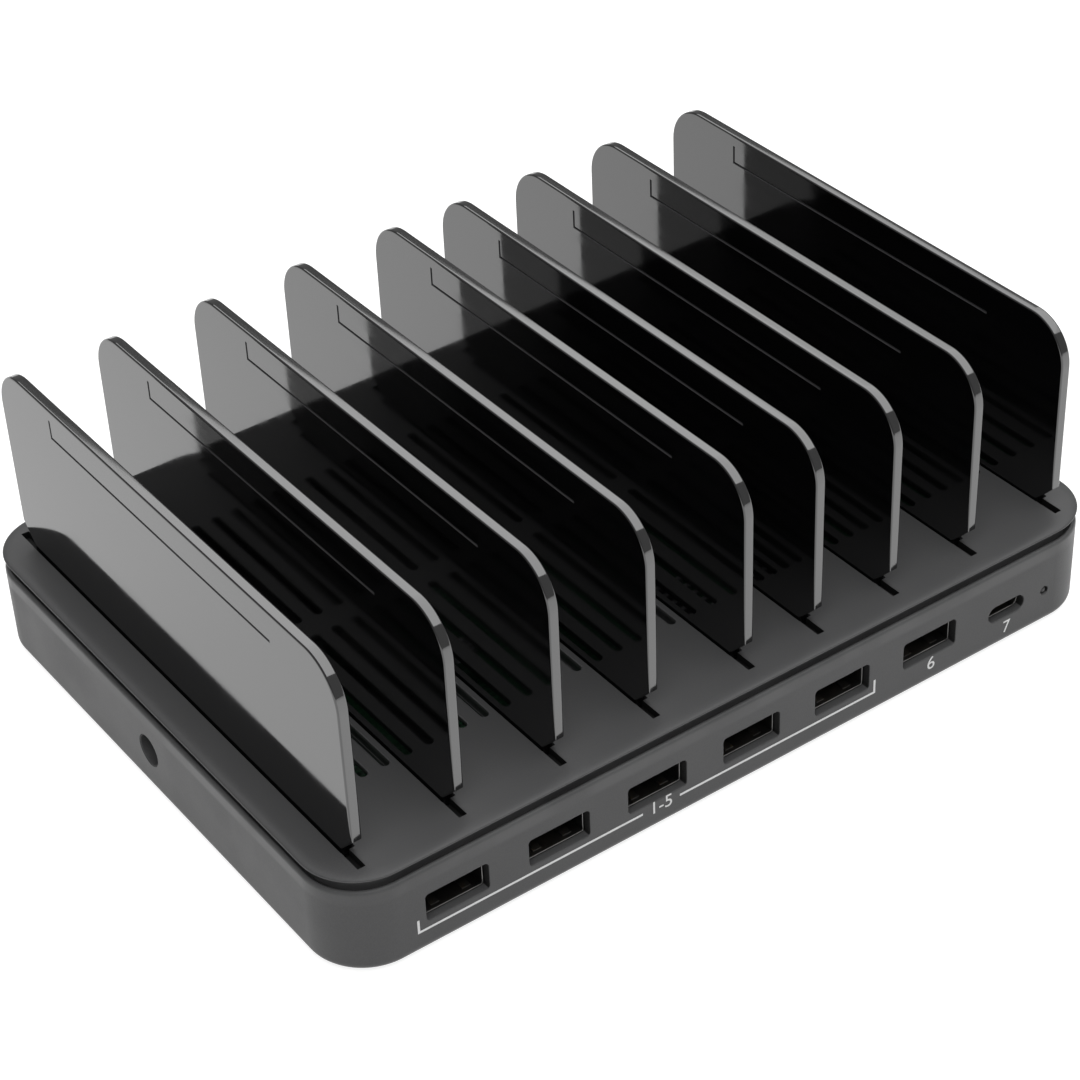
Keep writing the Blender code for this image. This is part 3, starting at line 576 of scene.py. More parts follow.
def edge_round(radius: float, steps: int) -> list[Pair]:
    """A rounded edge as (inset from the side, depth under the face) pairs, from the face to the side."""
    angles = [QUARTER_TURN * step / steps for step in range(steps + 1)]
    return [(radius * (1 - math.sin(angle)), radius * (1 - math.cos(angle))) for angle in angles]


class Blank:
    """A mesh that is being drawn, from closed bodies."""

    def __init__(self) -> None:
        """Starts with nothing drawn."""
        self.mesh = bmesh.new()

    def draw_out(self, rings: Sequence[Ring], place: Matrix | None = None) -> "Blank":
        """Adds one closed body, by drawing a face out from the first ring to the last.

        Args:
            rings: rings of as many points each.
            place: where the body goes.

        Returns:
            The blank.
        """
        place = place or Matrix()
        layers = [[self.mesh.verts.new(place @ point) for point in ring] for ring in rings]
        for lower, upper in zip(layers, layers[1:]):
            for index, corner in enumerate(lower):
                after = (index + 1) % len(lower)
                self.mesh.faces.new((corner, lower[after], upper[after], upper[index]))
        self.mesh.faces.new(layers[0][::-1])
        self.mesh.faces.new(layers[-1])
        return self

    def box(self, low: Sequence[float], high: Sequence[float], place: Matrix | None = None) -> "Blank":
        """Adds a sharp box between two corners.

        Args:
            low: the lowest corner.
            high: the highest corner.
            place: where the box goes.

        Returns:
            The blank.
        """
        size = (high[0] - low[0], high[1] - low[1])
        centre = ((high[0] + low[0]) / 2, (high[1] + low[1]) / 2)
        rings = [rounded_ring(size, 0.0, height, 1, centre) for height in (low[2], high[2])]
        return self.draw_out(rings, place)

    def slab(
        self,
        size: Pair,
        heights: Pair,
        corner: float,
        edge: float,
        place: Matrix | None = None,
        steps: int = 4,
    ) -> "Blank":
        """Adds a block with rounded corners and rounded upper and lower edges.

        Args:
            size: length and depth.
            heights: of its underside and its top.
            corner: radius of the upright corners, more than the edge's.
            edge: radius of the upper and lower edges.
            place: where the block goes.
            steps: facets to a quarter turn.

        Returns:
            The blank.
        """
        low, high = heights
        pairs = [(inset, low + depth) for inset, depth in edge_round(edge, steps)]
        pairs += [(inset, high - depth) for inset, depth in reversed(edge_round(edge, steps))]
        rings = [
            rounded_ring((size[0] - 2 * inset, size[1] - 2 * inset), corner - inset, height, steps)
            for inset, height in pairs
        ]
        return self.draw_out(rings, place)

    def turn(self, profile: Iterable[Pair], steps: int, place: Matrix | None = None) -> "Blank":
        """Adds a turned body from (radius, height) pairs, with so many facets to a quarter turn."""
        rings = [rounded_ring((2 * radius, 2 * radius), radius, height, steps) for radius, height in profile]
        return self.draw_out(rings, place)

    def data(self, name: str, material: bpy.types.Material | None = None) -> bpy.types.Mesh:
        """Ends the drawing.

        Args:
            name: the mesh's name.
            material: what it is made of.

        Returns:
            The mesh, facing out.
        """
        bmesh.ops.recalc_face_normals(self.mesh, faces=self.mesh.faces)
        data = bpy.data.meshes.new(name)
        self.mesh.to_mesh(data)
        self.mesh.free()
        if material:
            data.materials.append(material)
        return data


def evaluated(
    name: str, data: bpy.types.ID, steps: Sequence[tuple[str, dict[str, object]]] = ()
) -> bpy.types.Mesh:
    """Works modifiers into a mesh.

    Args:
        name: the new mesh's name.
        data: a mesh or a text curve.
        steps: the modifiers' types and settings, in order.

    Returns:
        The new mesh.
    """
    item = bpy.data.objects.new(name, data)
    bpy.context.scene.collection.objects.link(item)
    for kind, settings in steps:
        modifier = item.modifiers.new(kind.lower(), kind)
        for setting, value in settings.items():
            setattr(modifier, setting, value)
    graph = bpy.context.evaluated_depsgraph_get()
    result = item.evaluated_get(graph)
    made = bpy.data.meshes.new_from_object(result, preserve_all_data_layers=True, depsgraph=graph)
    made.name = name
    bpy.data.objects.remove(item)
    return made


def worked(data: bpy.types.Mesh, steps: Sequence[tuple[Work, bpy.types.Mesh]]) -> bpy.types.Mesh:
    """Joins shapes to a mesh and cuts shapes from it.

    Args:
        data: the blank's mesh.
        steps: what is done, and with which shape.

    Returns:
        The worked mesh, in which cut faces have the cutting shape's material.
    """
    helpers = [bpy.data.objects.new(shape.name, shape) for _, shape in steps]
    for helper in helpers:
        bpy.context.scene.collection.objects.link(helper)
    shared = {"solver": "EXACT", "material_mode": "TRANSFER"}
    modifiers = [
        ("BOOLEAN", {**shared, "operation": work.value, "object": helper})
        for (work, _), helper in zip(steps, helpers)
    ]
    made = evaluated(data.name, data, modifiers)
    for helper in helpers:
        bpy.data.objects.remove(helper)
    return made


def shaded(data: bpy.types.Mesh) -> bpy.types.Mesh:
    """Smooths a mesh where it is round, and keeps its flat faces flat.

    Args:
        data: the mesh.

    Returns:
        The smoothed mesh.
    """
    data.shade_smooth()
    data.set_sharp_from_angle(angle=CREASE_ANGLE)
    weighting = {"keep_sharp": True, "weight": FLAT_FACE_WEIGHT}
    return evaluated(data.name, data, [("WEIGHTED_NORMAL", weighting)])


def show(
    data: bpy.types.Mesh, body: str = CASE_BODY, nodes: Sequence[str] = ()
) -> bpy.types.Object:
    """Puts a piece in the scene.

    Args:
        data: its mesh, whose name becomes the piece's.
        body: the CAD body that it rides on.
        nodes: the CAD nodes that it replaces.

    Returns:
        The piece.
    """
    name = data.name
    piece = bpy.data.objects.new(name, shaded(data))
    bpy.context.scene.collection.objects.link(piece)
    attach(piece, body)
    if nodes:
        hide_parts(*nodes)
    return piece


def middle(node: str) -> Vector:
    """The middle of a CAD node's box."""
    low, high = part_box(node)
    return (low + high) / 2


def numbered(stem: str) -> list[str]:
    """The CAD nodes that have this name and a number, in the order of their numbers."""
    names = [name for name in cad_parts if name.startswith(stem) and name[len(stem) :].isdigit()]
    return sorted(names, key=lambda name: int(name[len(stem) :]))


def out_of_front(place: Vector) -> Matrix:
    """Turns a shape drawn along +Z to face out of the front wall, with its origin at a place."""
    return Matrix.Translation(place) @ Matrix.Rotation(QUARTER_TURN, 4, "X")


def out_of_left(place: Vector) -> Matrix:
    """Turns a shape drawn along +Z to face out of the left wall, with its origin at a place."""
    return Matrix.Translation(place) @ Matrix.Rotation(-QUARTER_TURN, 4, "Y")


@dataclass
class CaseShape:
    """What tray and cover share: the case's outline, and the heights where they meet."""

    corner_radius: float = 12.3 * MM
    corner_steps: int = 24
    groove_height: float = 2.4 * MM
    cover_edge: float = 0.9 * MM

    def __post_init__(self) -> None:
        """Reads the case's box from the frame."""
        self.low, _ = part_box("bottom_shell")
        self.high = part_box("top_cover")[1]
        self.length = self.high.x - self.low.x
        self.depth = self.high.y - self.low.y
        self.underside = self.low.z
        self.deck = self.high.z
        self.lip = self.deck - self.cover_edge
        self.wall_top = self.lip - self.groove_height

    def rings(self, pairs: Iterable[Pair]) -> list[Ring]:
        """Rings round the case.

        Args:
            pairs: (inset, height) pairs.

        Returns:
            A ring for each pair.
        """
        return [
            rounded_ring(
                (self.length - 2 * inset, self.depth - 2 * inset),
                self.corner_radius - inset,
                height,
                self.corner_steps,
            )
            for inset, height in pairs
        ]


@dataclass
class BottomTray:
    """The moulded tray: floor, walls, the tongue under the cover, posts, standoffs and openings."""

    shape: CaseShape
    wall: float = 2.4 * MM
    floor: float = 2.0 * MM
    groove_depth: float = 1.9 * MM
    groove_fall: float = 1.0 * MM
    top_edge: float = 0.8 * MM
    highlight_reach: float = 2.4 * MM
    bottom_fillet: float = 1.8 * MM
    support: float = 0.5 * MM
    fillet_steps: int = 8
    edge_steps: int = 6
    mouth_round: float = 0.25 * MM
    mouth_steps: int = 8
    jamb_slope: float = 0.7
    usb_a_corner: float = 0.9 * MM
    port_clearance: float = 0.3 * MM
    light_hole: float = 0.95 * MM
    jack_hole: float = 3.25 * MM
    jack_pad: float = 5.0 * MM
    post_radius: float = 4.3 * MM
    post_top: float = 5.8 * MM
    post_steps: int = 10
    head_seat: float = 3.4 * MM
    head_hole: float = 2.9 * MM
    screw_hole: float = 1.6 * MM
    foot_recess: Pair = (5.3 * MM, 1.0 * MM)
    standoff_radius: float = 2.6 * MM
    standoff_top: float = 4.8 * MM
    standoff_steps: int = 8
    standoff_hole: float = 1.4 * MM
    standoff_floor: float = 1.2 * MM

    def finish(self) -> MouldedPlastic:
        """The tray's plastic, with a painted highlight along its upper edge and round its foot.

        Returns:
            The finish.
        """
        base, top = self.shape.underside, self.shape.wall_top
        # painted highlight bands along the wall's upper edge and round the foot
        bands = ((top - self.highlight_reach, top), (base, base + self.bottom_fillet / 2))
        return MouldedPlastic(
            "dark_grey_tray_plastic", Slot.CASE, highlight_bands=bands, band_softness=self.highlight_reach / 2
        )

    def walls(self) -> Blank:
        """Draws floor, walls, tongue, upper edge and bottom fillet as one body.

        Returns:
            The blank.
        """
        base, wall_top = self.shape.underside, self.shape.wall_top
        tongue_top = self.shape.lip - GAP
        floor = base + self.floor
        pairs = [(self.wall, floor), (self.wall, tongue_top)]
        pairs += [(self.groove_depth, tongue_top), (self.groove_depth, wall_top - self.groove_fall)]
        skin = INK_THICKNESS
        rounding = edge_round(self.top_edge, self.edge_steps)
        pairs += [(skin + inset, wall_top - depth) for inset, depth in rounding]
        pairs.append((skin, wall_top - self.top_edge - self.support))
        pairs.append((skin, base + self.bottom_fillet + self.support))
        fillet = edge_round(self.bottom_fillet, self.fillet_steps)
        pairs += [(skin + inset, base + depth) for inset, depth in reversed(fillet)]
        pairs.append((skin + self.bottom_fillet + self.support, base))
        return Blank().draw_out(self.shape.rings(pairs))

    def supports(self) -> Blank:
        """Draws what stands on the floor: screw posts, standoffs and the pad under the power inlet.

        Returns:
            The blank, which is joined to the walls.
        """
        blank = Blank()
        base = self.shape.underside
        buried = base + self.floor / 2
        columns = (
            ("case_screw_", self.post_radius, self.post_top, self.post_steps),
            ("board_screw_", self.standoff_radius, self.standoff_top, self.standoff_steps),
        )
        for stem, radius, top, steps in columns:
            for node in numbered(stem):
                place = Matrix.Translation((*middle(node).xy, 0.0))
                blank.turn(((radius, buried), (radius, base + top)), steps, place)
        low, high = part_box("dc_jack_body")
        y = (low.y + high.y) / 2
        front = (self.shape.low.x + self.wall / 2, y - self.jack_pad / 2, buried)
        return blank.box(front, (high.x, y + self.jack_pad / 2, low.z - GAP))

    def mouth(self, blank: Blank, size: Pair, corner: float, place: Matrix) -> None:
        """Draws the cutting shape of one wall opening, with a softly rounded mouth.

        Args:
            blank: where it is drawn.
            size: the opening's width and height.
            corner: radius of its corners.
            place: its middle on the wall's face, facing out.
        """
        rounding = edge_round(self.mouth_round, self.edge_steps)
        pairs = [(0.0, -self.wall - OVERRUN)]
        pairs += [(inset, -depth) for inset, depth in reversed(rounding)]
        pairs.append((self.mouth_round, OVERRUN))
        rings: list[Ring] = []
        for grow, height in pairs:
            wider = (size[0] + 2 * grow, size[1] + 2 * grow)
            rings.append(rounded_ring(wider, corner + grow, height - INK_THICKNESS, self.mouth_steps))
        blank.draw_out(rings, place)

    def openings(self) -> Blank:
        """Draws what is cut away: wall openings, foot recesses and screw holes.

        Returns:
            The blank, which is cut from walls and supports.
        """
        blank = Blank()
        front, left = self.shape.low.y, self.shape.low.x
        for node in (*numbered("usb_a_shell_"), "usb_c_shell"):
            low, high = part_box(node)
            size = (high.x - low.x + 2 * self.port_clearance, high.z - low.z + 2 * self.port_clearance)
            corner = size[1] / 2 if node == "usb_c_shell" else self.usb_a_corner
            place = middle(node)
            self.mouth(blank, size, corner, out_of_front(Vector((place.x, front, place.z))))
        light = middle("status_light")
        size = (2 * self.light_hole, 2 * self.light_hole)
        self.mouth(blank, size, self.light_hole, out_of_front(Vector((light.x, front, light.z))))
        jack = middle("dc_jack_body")
        size = (2 * self.jack_hole, 2 * self.jack_hole)
        self.mouth(blank, size, self.jack_hole, out_of_left(Vector((left, jack.y, jack.z))))
        recess, recess_depth = self.foot_recess
        for node in numbered("case_screw_"):
            top = self.post_top + OVERRUN
            heights = (-OVERRUN, recess_depth, recess_depth, self.head_seat, self.head_seat, top)
            radii = (recess, recess, self.head_hole, self.head_hole, self.screw_hole, self.screw_hole)
            place = Matrix.Translation((*middle(node).xy, self.shape.underside))
            blank.turn(zip(radii, heights), self.post_steps, place)
        ends = (self.standoff_floor, self.standoff_top + OVERRUN)
        for node in numbered("board_screw_"):
            place = Matrix.Translation((*middle(node).xy, self.shape.underside))
            blank.turn([(self.standoff_hole, height) for height in ends], self.standoff_steps, place)
        return blank

    def build(self) -> list[bpy.types.Object]:
        """Makes the tray, in place of its CAD solid.

        Returns:
            The tray alone, as a list.
        """
        material = self.finish().material()
        blank = self.walls().data("bottom_tray", material)
        cuts = self.openings().data("tray_cuts", material)
        cuts.materials.append(PAINTED_SHADE_BLACK.material())
        for face in cuts.polygons:  # painted shade: the openings' right jambs are painted nearly black
            face.material_index = int(face.normal.x > self.jamb_slope)
        steps = [(Work.JOIN, self.supports().data("tray_supports")), (Work.CUT, cuts)]
        return [show(worked(blank, steps), nodes=["bottom_shell"])]


@dataclass
class TopCover:
    """The moulded cover: deck, soft rim, skirt, divider pockets, vent slots and screw bosses."""

    shape: CaseShape
    rim: Pair = (2.4 * MM, 0.5 * MM)
    rim_steps: int = 8
    highlight_free_crown: float = 1 / 6
    lip_edge: float = 0.35 * MM
    lip_steps: int = 5
    # colour of the faint painted highlight along the rim
    highlight_colour: Colour = (0.052, 0.052, 0.053)
    support: float = 0.5 * MM
    deck_thickness: float = 2.0 * MM
    skirt_inset: float = 2.7 * MM
    skirt_wall: float = 1.2 * MM
    skirt_reach: float = 3.5 * MM
    pocket_wall: float = 1.0 * MM
    pocket_drop: float = 6.8 * MM
    pocket_floor: float = 1.0 * MM
    tongue_half_length: float = 57.5 * MM
    vent_count: int = 4
    vent_width: float = 1.8 * MM
    vent_inset: float = 24.2 * MM
    vent_bridge: float = 5.0 * MM
    vent_land: float = 0.3 * MM
    vent_mouth: float = 0.2 * MM
    vent_relief: Pair = (0.5 * MM, 0.8 * MM)
    slot_mouth: float = 0.12 * MM
    mouth_steps: int = 3
    corner_steps: int = 6
    slot_half_length: float = 63.2 * MM
    slot_end_depth: float = 1.5 * MM
    slot_end_width: float = 1.6 * MM
    pocket_step: float = 0.05 * MM
    boss_radius: float = 3.2 * MM
    boss_bottom: float = 6.1 * MM
    boss_seat: float = 1 / 3
    boss_steps: int = 10
    pilot_radius: float = 1.6 * MM
    pilot_top: float = 14.92 * MM
    pilot_steps: int = 8

    def finish(self) -> MouldedPlastic:
        """The cover's plastic, with a faint painted highlight along its rim.

        Returns:
            The finish.
        """
        deck = self.shape.deck
        bands = ((deck - self.rim[1], deck - self.rim[1] * self.highlight_free_crown),)
        return MouldedPlastic(
            "dark_grey_cover_plastic", Slot.CASE, highlight_colour=self.highlight_colour, highlight_bands=bands
        )

    def plate(self) -> Blank:
        """Draws deck, rim and skirt as one body.

        Returns:
            The blank.
        """
        deck, lip = self.shape.deck, self.shape.lip
        inner = self.skirt_inset + self.skirt_wall
        pairs = [(inner, deck - self.deck_thickness), (inner, lip - self.skirt_reach)]
        pairs += [(self.skirt_inset, lip - self.skirt_reach), (self.skirt_inset, lip)]
        pairs += [(inset, lip + depth) for inset, depth in edge_round(self.lip_edge, self.lip_steps)]
        across, down = self.rim
        rim = edge_round(1.0, self.rim_steps)
        pairs += [(across * inset, deck - down * depth) for inset, depth in reversed(rim)]
        pairs.append((across + self.support, deck))
        return Blank().draw_out(self.shape.rings(pairs))

    def pockets(self) -> Blank:
        """Draws the pockets that hold the dividers, under the deck.

        Returns:
            The blank, which is joined to the plate.
        """
        blank = Blank()
        deck = self.shape.deck
        half_length = self.tongue_half_length + GAP + self.pocket_wall
        for node in numbered("divider_"):
            low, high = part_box(node)
            reach = GAP + self.pocket_wall
            bottom = deck - self.pocket_drop
            top = deck - self.deck_thickness / 2
            blank.box((low.x - reach, -half_length, bottom), (high.x + reach, half_length, top))
        return blank

    def bosses(self) -> Blank:
        """Draws the bosses that the case screws run up into.

        Returns:
            The blank, which is joined to the plate.
        """
        blank = Blank()
        base = self.shape.underside
        top = self.shape.deck - self.deck_thickness * self.boss_seat
        for node in numbered("case_screw_"):
            profile = ((self.boss_radius, base + self.boss_bottom), (self.boss_radius, top))
            blank.turn(profile, self.boss_steps, Matrix.Translation((*middle(node).xy, 0.0)))
        return blank

    def vent_places(self) -> list[float]:
        """The vent slots' middles along the case, evenly spread between each two pockets.

        Returns:
            Their places along X.
        """
        boxes = [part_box(node) for node in numbered("divider_")]
        margin = GAP + self.pocket_wall + self.vent_land + self.vent_width / 2
        places: list[float] = []
        for (_, left), (right, _) in zip(boxes, boxes[1:]):
            first, last = left.x + margin, right.x - margin
            step = (last - first) / (self.vent_count - 1)
            places += [first + step * index for index in range(self.vent_count)]
        return places

    def mouth(
        self,
        blank: Blank,
        size: Pair,
        corner: float,
        mouth: float,
        bottom: float,
        centre: Pair,
        relief: Pair = (0.0, 0.0),
    ) -> None:
        """Draws the cutting shape of one deck opening, with a softly rounded mouth.

        Args:
            blank: where it is drawn.
            size: the opening's length along X and Y.
            corner: radius of its corners.
            mouth: radius of its upper edge.
            bottom: how deep it goes under the deck.
            centre: its middle.
            relief: how much wider it is on each side below a depth, and that depth.
        """
        widening, depth_of_relief = relief
        pairs = [(widening, -bottom)]
        if widening:
            pairs += [(widening, -depth_of_relief), (0.0, -depth_of_relief)]
        pairs += [(inset, -depth) for inset, depth in reversed(edge_round(mouth, self.mouth_steps))]
        pairs.append((mouth, OVERRUN))
        deck, steps = self.shape.deck, self.corner_steps
        rings: list[Ring] = []
        for grow, height in pairs:
            wider = (size[0] + 2 * grow, size[1] + 2 * grow)
            rings.append(rounded_ring(wider, corner + grow, deck + height, steps, centre))
        blank.draw_out(rings)

    def slot_ends(self) -> Blank:
        """Draws the narrow, shallow groove that runs on from each pocket, before and behind the divider.

        Returns:
            The blank, which is cut from the plate.
        """
        blank = Blank()
        start = self.tongue_half_length
        run = self.slot_half_length - start
        for node in numbered("divider_"):
            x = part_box(node)[0].x - GAP + (self.slot_end_width / 2 + self.pocket_step)
            for side in (-1, 1):
                centre = (x, side * (start + run / 2))
                size = (self.slot_end_width, run)
                self.mouth(blank, size, self.slot_mouth, self.slot_mouth / 2, self.slot_end_depth, centre)
        return blank

    def openings(self) -> Blank:
        """Draws what is cut away: the dividers' pockets, the vents and the screws' pilot holes.

        Returns:
            The blank, which is cut from plate, pockets and bosses.
        """
        blank = Blank()
        for node in numbered("divider_"):
            low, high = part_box(node)
            size = (high.x - low.x + 2 * GAP, 2 * (self.tongue_half_length + GAP))
            floor = self.pocket_drop - self.pocket_floor
            self.mouth(blank, size, self.slot_mouth / 2, self.slot_mouth, floor, ((low.x + high.x) / 2, 0.0))
        run = (self.shape.depth - self.vent_bridge) / 2 - self.vent_inset
        bottom = self.deck_thickness + OVERRUN
        for x in self.vent_places():
            for side in (-1, 1):
                centre = (x, side * (self.vent_bridge + run) / 2)
                size, corner = (self.vent_width, run), self.vent_width / 2
                self.mouth(blank, size, corner, self.vent_mouth, bottom, centre, self.vent_relief)
        base = self.shape.underside
        for node in numbered("case_screw_"):
            ends = (base + self.boss_bottom - OVERRUN, base + self.pilot_top)
            place = Matrix.Translation((*middle(node).xy, 0.0))
            blank.turn([(self.pilot_radius, height) for height in ends], self.pilot_steps, place)
        return blank

    def build(self) -> list[bpy.types.Object]:
        """Makes the cover, in place of its CAD solid.

        Returns:
            The cover alone, as a list.
        """
        blank = self.plate().data("top_cover_shell", self.finish().material())
        steps = [
            (Work.JOIN, self.pockets().data("cover_pockets")),
            (Work.JOIN, self.bosses().data("cover_bosses")),
            (Work.CUT, self.openings().data("cover_cuts")),
            # painted shade: the slot ends' cut faces are painted near black
            (Work.CUT, self.slot_ends().data("cover_slot_ends", PAINTED_SHADE_BLACK.material())),
        ]
        return [show(worked(blank, steps), nodes=["top_cover"])]


@dataclass
class Divider:
    """One polished plate: a tongue, lower corners cut aslant, round upper corners and an engraved line."""

    node: str
    deck: float
    corner_radius: float = 9.5 * MM
    corner_steps: int = 20
    edge_radius: float = 0.45 * MM
    edge_steps: int = 4
    shoulder: float = 4.0 * MM
    toe: float = 4.7 * MM
    line_width: float = 0.6 * MM
    line_depth: float = 0.35 * MM
    line_drop: float = 6.5 * MM
    line_inset: float = 21.5 * MM
    tick_drop: float = 2.5 * MM
    rim_slope: float = 0.5

    def __post_init__(self) -> None:
        """Reads the plate's box from the frame."""
        self.low, self.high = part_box(self.node)

    def outline(self, inset: float, x: float) -> Ring:
        """The plate's outline, drawn in.

        Args:
            inset: how far it is drawn in.
            x: its place along X.

        Returns:
            The points.
        """
        front, back = self.low.y + inset, self.high.y - inset
        tongue = self.high.y - self.shoulder - inset
        rise = inset * math.tan(math.atan2(self.shoulder, self.toe - GAP) / 2)
        toe, seat = self.deck + self.toe + rise, self.deck + GAP + rise
        bottom, top = self.low.z + inset, self.high.z - inset
        foot = ((-tongue, seat), (-tongue, bottom), (tongue, bottom), (tongue, seat))
        points = [Vector((x, y, z)) for y, z in ((front, toe), *foot, (back, toe))]
        radius = self.corner_radius - inset
        for middle_y, start in ((back - radius, 0.0), (front + radius, QUARTER_TURN)):
            for step in range(self.corner_steps + 1):
                angle = start + QUARTER_TURN * step / self.corner_steps
                y = middle_y + radius * math.cos(angle)
                points.append(Vector((x, y, top - radius + radius * math.sin(angle))))
        return points

    def line(self) -> Blank:
        """Draws the cutting shape of the engraved line, whose back end turns up.

        Returns:
            The blank, which is cut from the plate.
        """
        half = self.line_width / 2
        front, back = self.low.y + self.line_inset, self.high.y - self.line_inset
        centre, tip = self.high.z - self.line_drop, self.high.z - self.tick_drop
        corners = (
            (front, centre - half),
            (back, centre - half),
            (back, tip),
            (back - self.line_width, tip),
            (back - self.line_width, centre + half),
            (front, centre + half),
        )
        levels = (self.low.x - OVERRUN, self.low.x + self.line_depth)
        return Blank().draw_out([[Vector((x, y, z)) for y, z in corners] for x in levels])

    def build(self) -> bpy.types.Object:
        """Makes the plate, in place of its CAD solid, on its own body.

        Returns:
            The plate.
        """
        rounding = edge_round(self.edge_radius, self.edge_steps)
        rings = [self.outline(inset, self.low.x + depth) for inset, depth in rounding]
        rings += [self.outline(inset, self.high.x - depth) for inset, depth in reversed(rounding)]
        blank = Blank().draw_out(rings).data(f"{self.node}_plate", DIVIDER_POLISH.material())
        blank.materials.append(DIVIDER_RIM.material())
        for face in blank.polygons:  # the rim is buffed brighter than the two faces
            face.material_index = int(abs(face.normal.x) < self.rim_slope)
        line = self.line().data(f"{self.node}_line", LINE_PAINT.material())
        return show(worked(blank, [(Work.CUT, line)]), self.node, [self.node])


@dataclass
class DividerRack:
    """The nine dividers."""

    shape: CaseShape

    def build(self) -> list[bpy.types.Object]:
        """Makes every divider, each on its own body."""
        return [Divider(node, self.shape.deck).build() for node in numbered("divider_")]


@dataclass
class Socket:
    """A port: a folded metal shell, and a plastic insert with contact strips."""

    shell_node: str
    insert_node: str
    name: str
    corner: float
    contact_width: float
    contact_places: tuple[float, ...]
    contact_sides: tuple[int, ...]
    block_length: float
    tongue_thickness: float
    tongue_width: float
    tongue_offset: float = 0.0
    has_springs: bool = False
    sheet: float = 0.3 * MM
    fold: float = 0.12 * MM
    least_corner: float = 0.05 * MM
    steps: int = 6
    tip_softness: float = 0.25
    tip_corner: float = 1.2
    tip_steps: int = 3
    contact_bend: float = 3.0
    contact_height: float = 0.08 * MM
    contact_set_back: float = 0.7 * MM
    spring_width: float = 1.8 * MM
    spring_place: float = 3.4 * MM
    spring_reach: float = 6.0 * MM
    spring_rise: float = 0.3 * MM
    spring_shares: tuple[float, ...] = (0.0, 0.2, 0.35, 0.5, 0.65, 0.8, 1.0)

    def __post_init__(self) -> None:
        """Reads the shell's and the insert's boxes from the frame."""
        self.low, self.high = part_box(self.shell_node)
        self.width, self.height = self.high.x - self.low.x, self.high.z - self.low.z
        self.length = self.high.y - self.low.y
        centre = (self.low + self.high) / 2
        self.place = out_of_front(Vector((centre.x, self.low.y, centre.z)))
        insert_low, insert_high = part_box(self.insert_node)
        self.tip = self.low.y - insert_low.y
        self.back = self.low.y - insert_high.y

    def ring(self, inset: float, level: float) -> Ring:
        """A ring round the shell, drawn in from its outside."""
        size = (self.width - 2 * inset, self.height - 2 * inset)
        return rounded_ring(size, max(self.corner - inset, self.least_corner), level, self.steps)

    def shell(self) -> Blank:
        """Draws the folded shell with a softened mouth, and its springs if it has them.

        Returns:
            The blank.
        """
        inner, fold, third = self.sheet, self.fold, self.fold / 3
        pairs = [(inner, self.sheet - self.length), (inner, -fold), (inner - third, -third)]
        pairs += [(inner - fold, 0.0), (fold, 0.0), (third, -third), (0.0, -fold), (0.0, -self.length)]
        blank = Blank().draw_out([self.ring(*pair) for pair in pairs], self.place)
        if self.has_springs:
            self.add_springs(blank)
        return blank

    def add_springs(self, blank: Blank) -> None:
        """Draws two bowed springs on the shell's floor and two on its roof.

        Args:
            blank: where they are drawn.
        """
        start = -self.contact_set_back - self.sheet
        bow = [
            (start - self.spring_reach * share, self.spring_rise * math.sin(math.pi * share))
            for share in self.spring_shares
        ]
        face = self.height / 2 - self.sheet
        third = self.sheet / 3
        buried = face + third
        for side in (-1, 1):
            bowed = [(level, side * (face - third - rise)) for level, rise in bow]
            profile = bowed + [(level, side * buried) for level, _ in reversed(bow)]
            for middle_x in (-self.spring_place, self.spring_place):
                ends = (middle_x - self.spring_width / 2, middle_x + self.spring_width / 2)
                rings = [[Vector((x, height, level)) for level, height in profile] for x in ends]
                blank.draw_out(rings, self.place)

    def insert(self) -> Blank:
        """Draws the block in the shell's back and the tongue that stands out of it, with a softened tip.

        Returns:
            The blank.
        """
        clearance = self.sheet + GAP
        block = (self.width - 2 * clearance, self.height - 2 * clearance)
        block_corner = max(self.corner - clearance, 0.0)
        step = self.back + self.block_length
        soft = self.tongue_thickness * self.tip_softness
        centre = (0.0, self.tongue_offset)
        blank = Blank()
        rings = [rounded_ring(block, block_corner, level, self.steps) for level in (self.back, step)]
        blank.draw_out(rings, self.place)
        third = soft / 3
        levels = ((0.0, step - soft), (0.0, self.tip - soft), (third, self.tip - third), (soft, self.tip))
        tongue: list[Ring] = []
        for inset, level in levels:
            size = (self.tongue_width - 2 * inset, self.tongue_thickness - 2 * inset)
            tongue.append(rounded_ring(size, soft * self.tip_corner - inset, level, self.tip_steps, centre))
        return blank.draw_out(tongue, self.place)

    def contacts(self) -> Blank:
        """Draws the contact strips, slightly proud of the tongue, with ends that bend into it.

        Returns:
            The blank.
        """
        blank = Blank()
        start, end = self.tip - self.contact_set_back, self.back + self.block_length
        bend = self.contact_height * self.contact_bend
        for side in self.contact_sides:
            face = self.tongue_offset + side * self.tongue_thickness / 2
            outer = face + side * self.contact_height
            inner = face - side * self.contact_height
            profile = ((start, inner), (start - bend, outer), (end, outer), (end, inner))
            for x in self.contact_places:
                ends = (x - self.contact_width / 2, x + self.contact_width / 2)
                rings = [[Vector((across, height, level)) for level, height in profile] for across in ends]
                blank.draw_out(rings, self.place)
        return blank

    def build(self) -> list[bpy.types.Object]:
        """Makes shell, insert and contacts, in place of the port's CAD solids.

        Returns:
            The three pieces.
        """
        shell = self.shell().data(f"{self.name}_folded_shell", PORT_METAL.material())
        insert = self.insert().data(f"{self.name}_insert", INSERT_BLACK.material())
        contacts = self.contacts().data(f"{self.name}_contacts", CONTACT_GOLD.material())
        return [
            show(shell, nodes=[self.shell_node]),
            show(insert, nodes=[self.insert_node]),
            show(contacts),
        ]


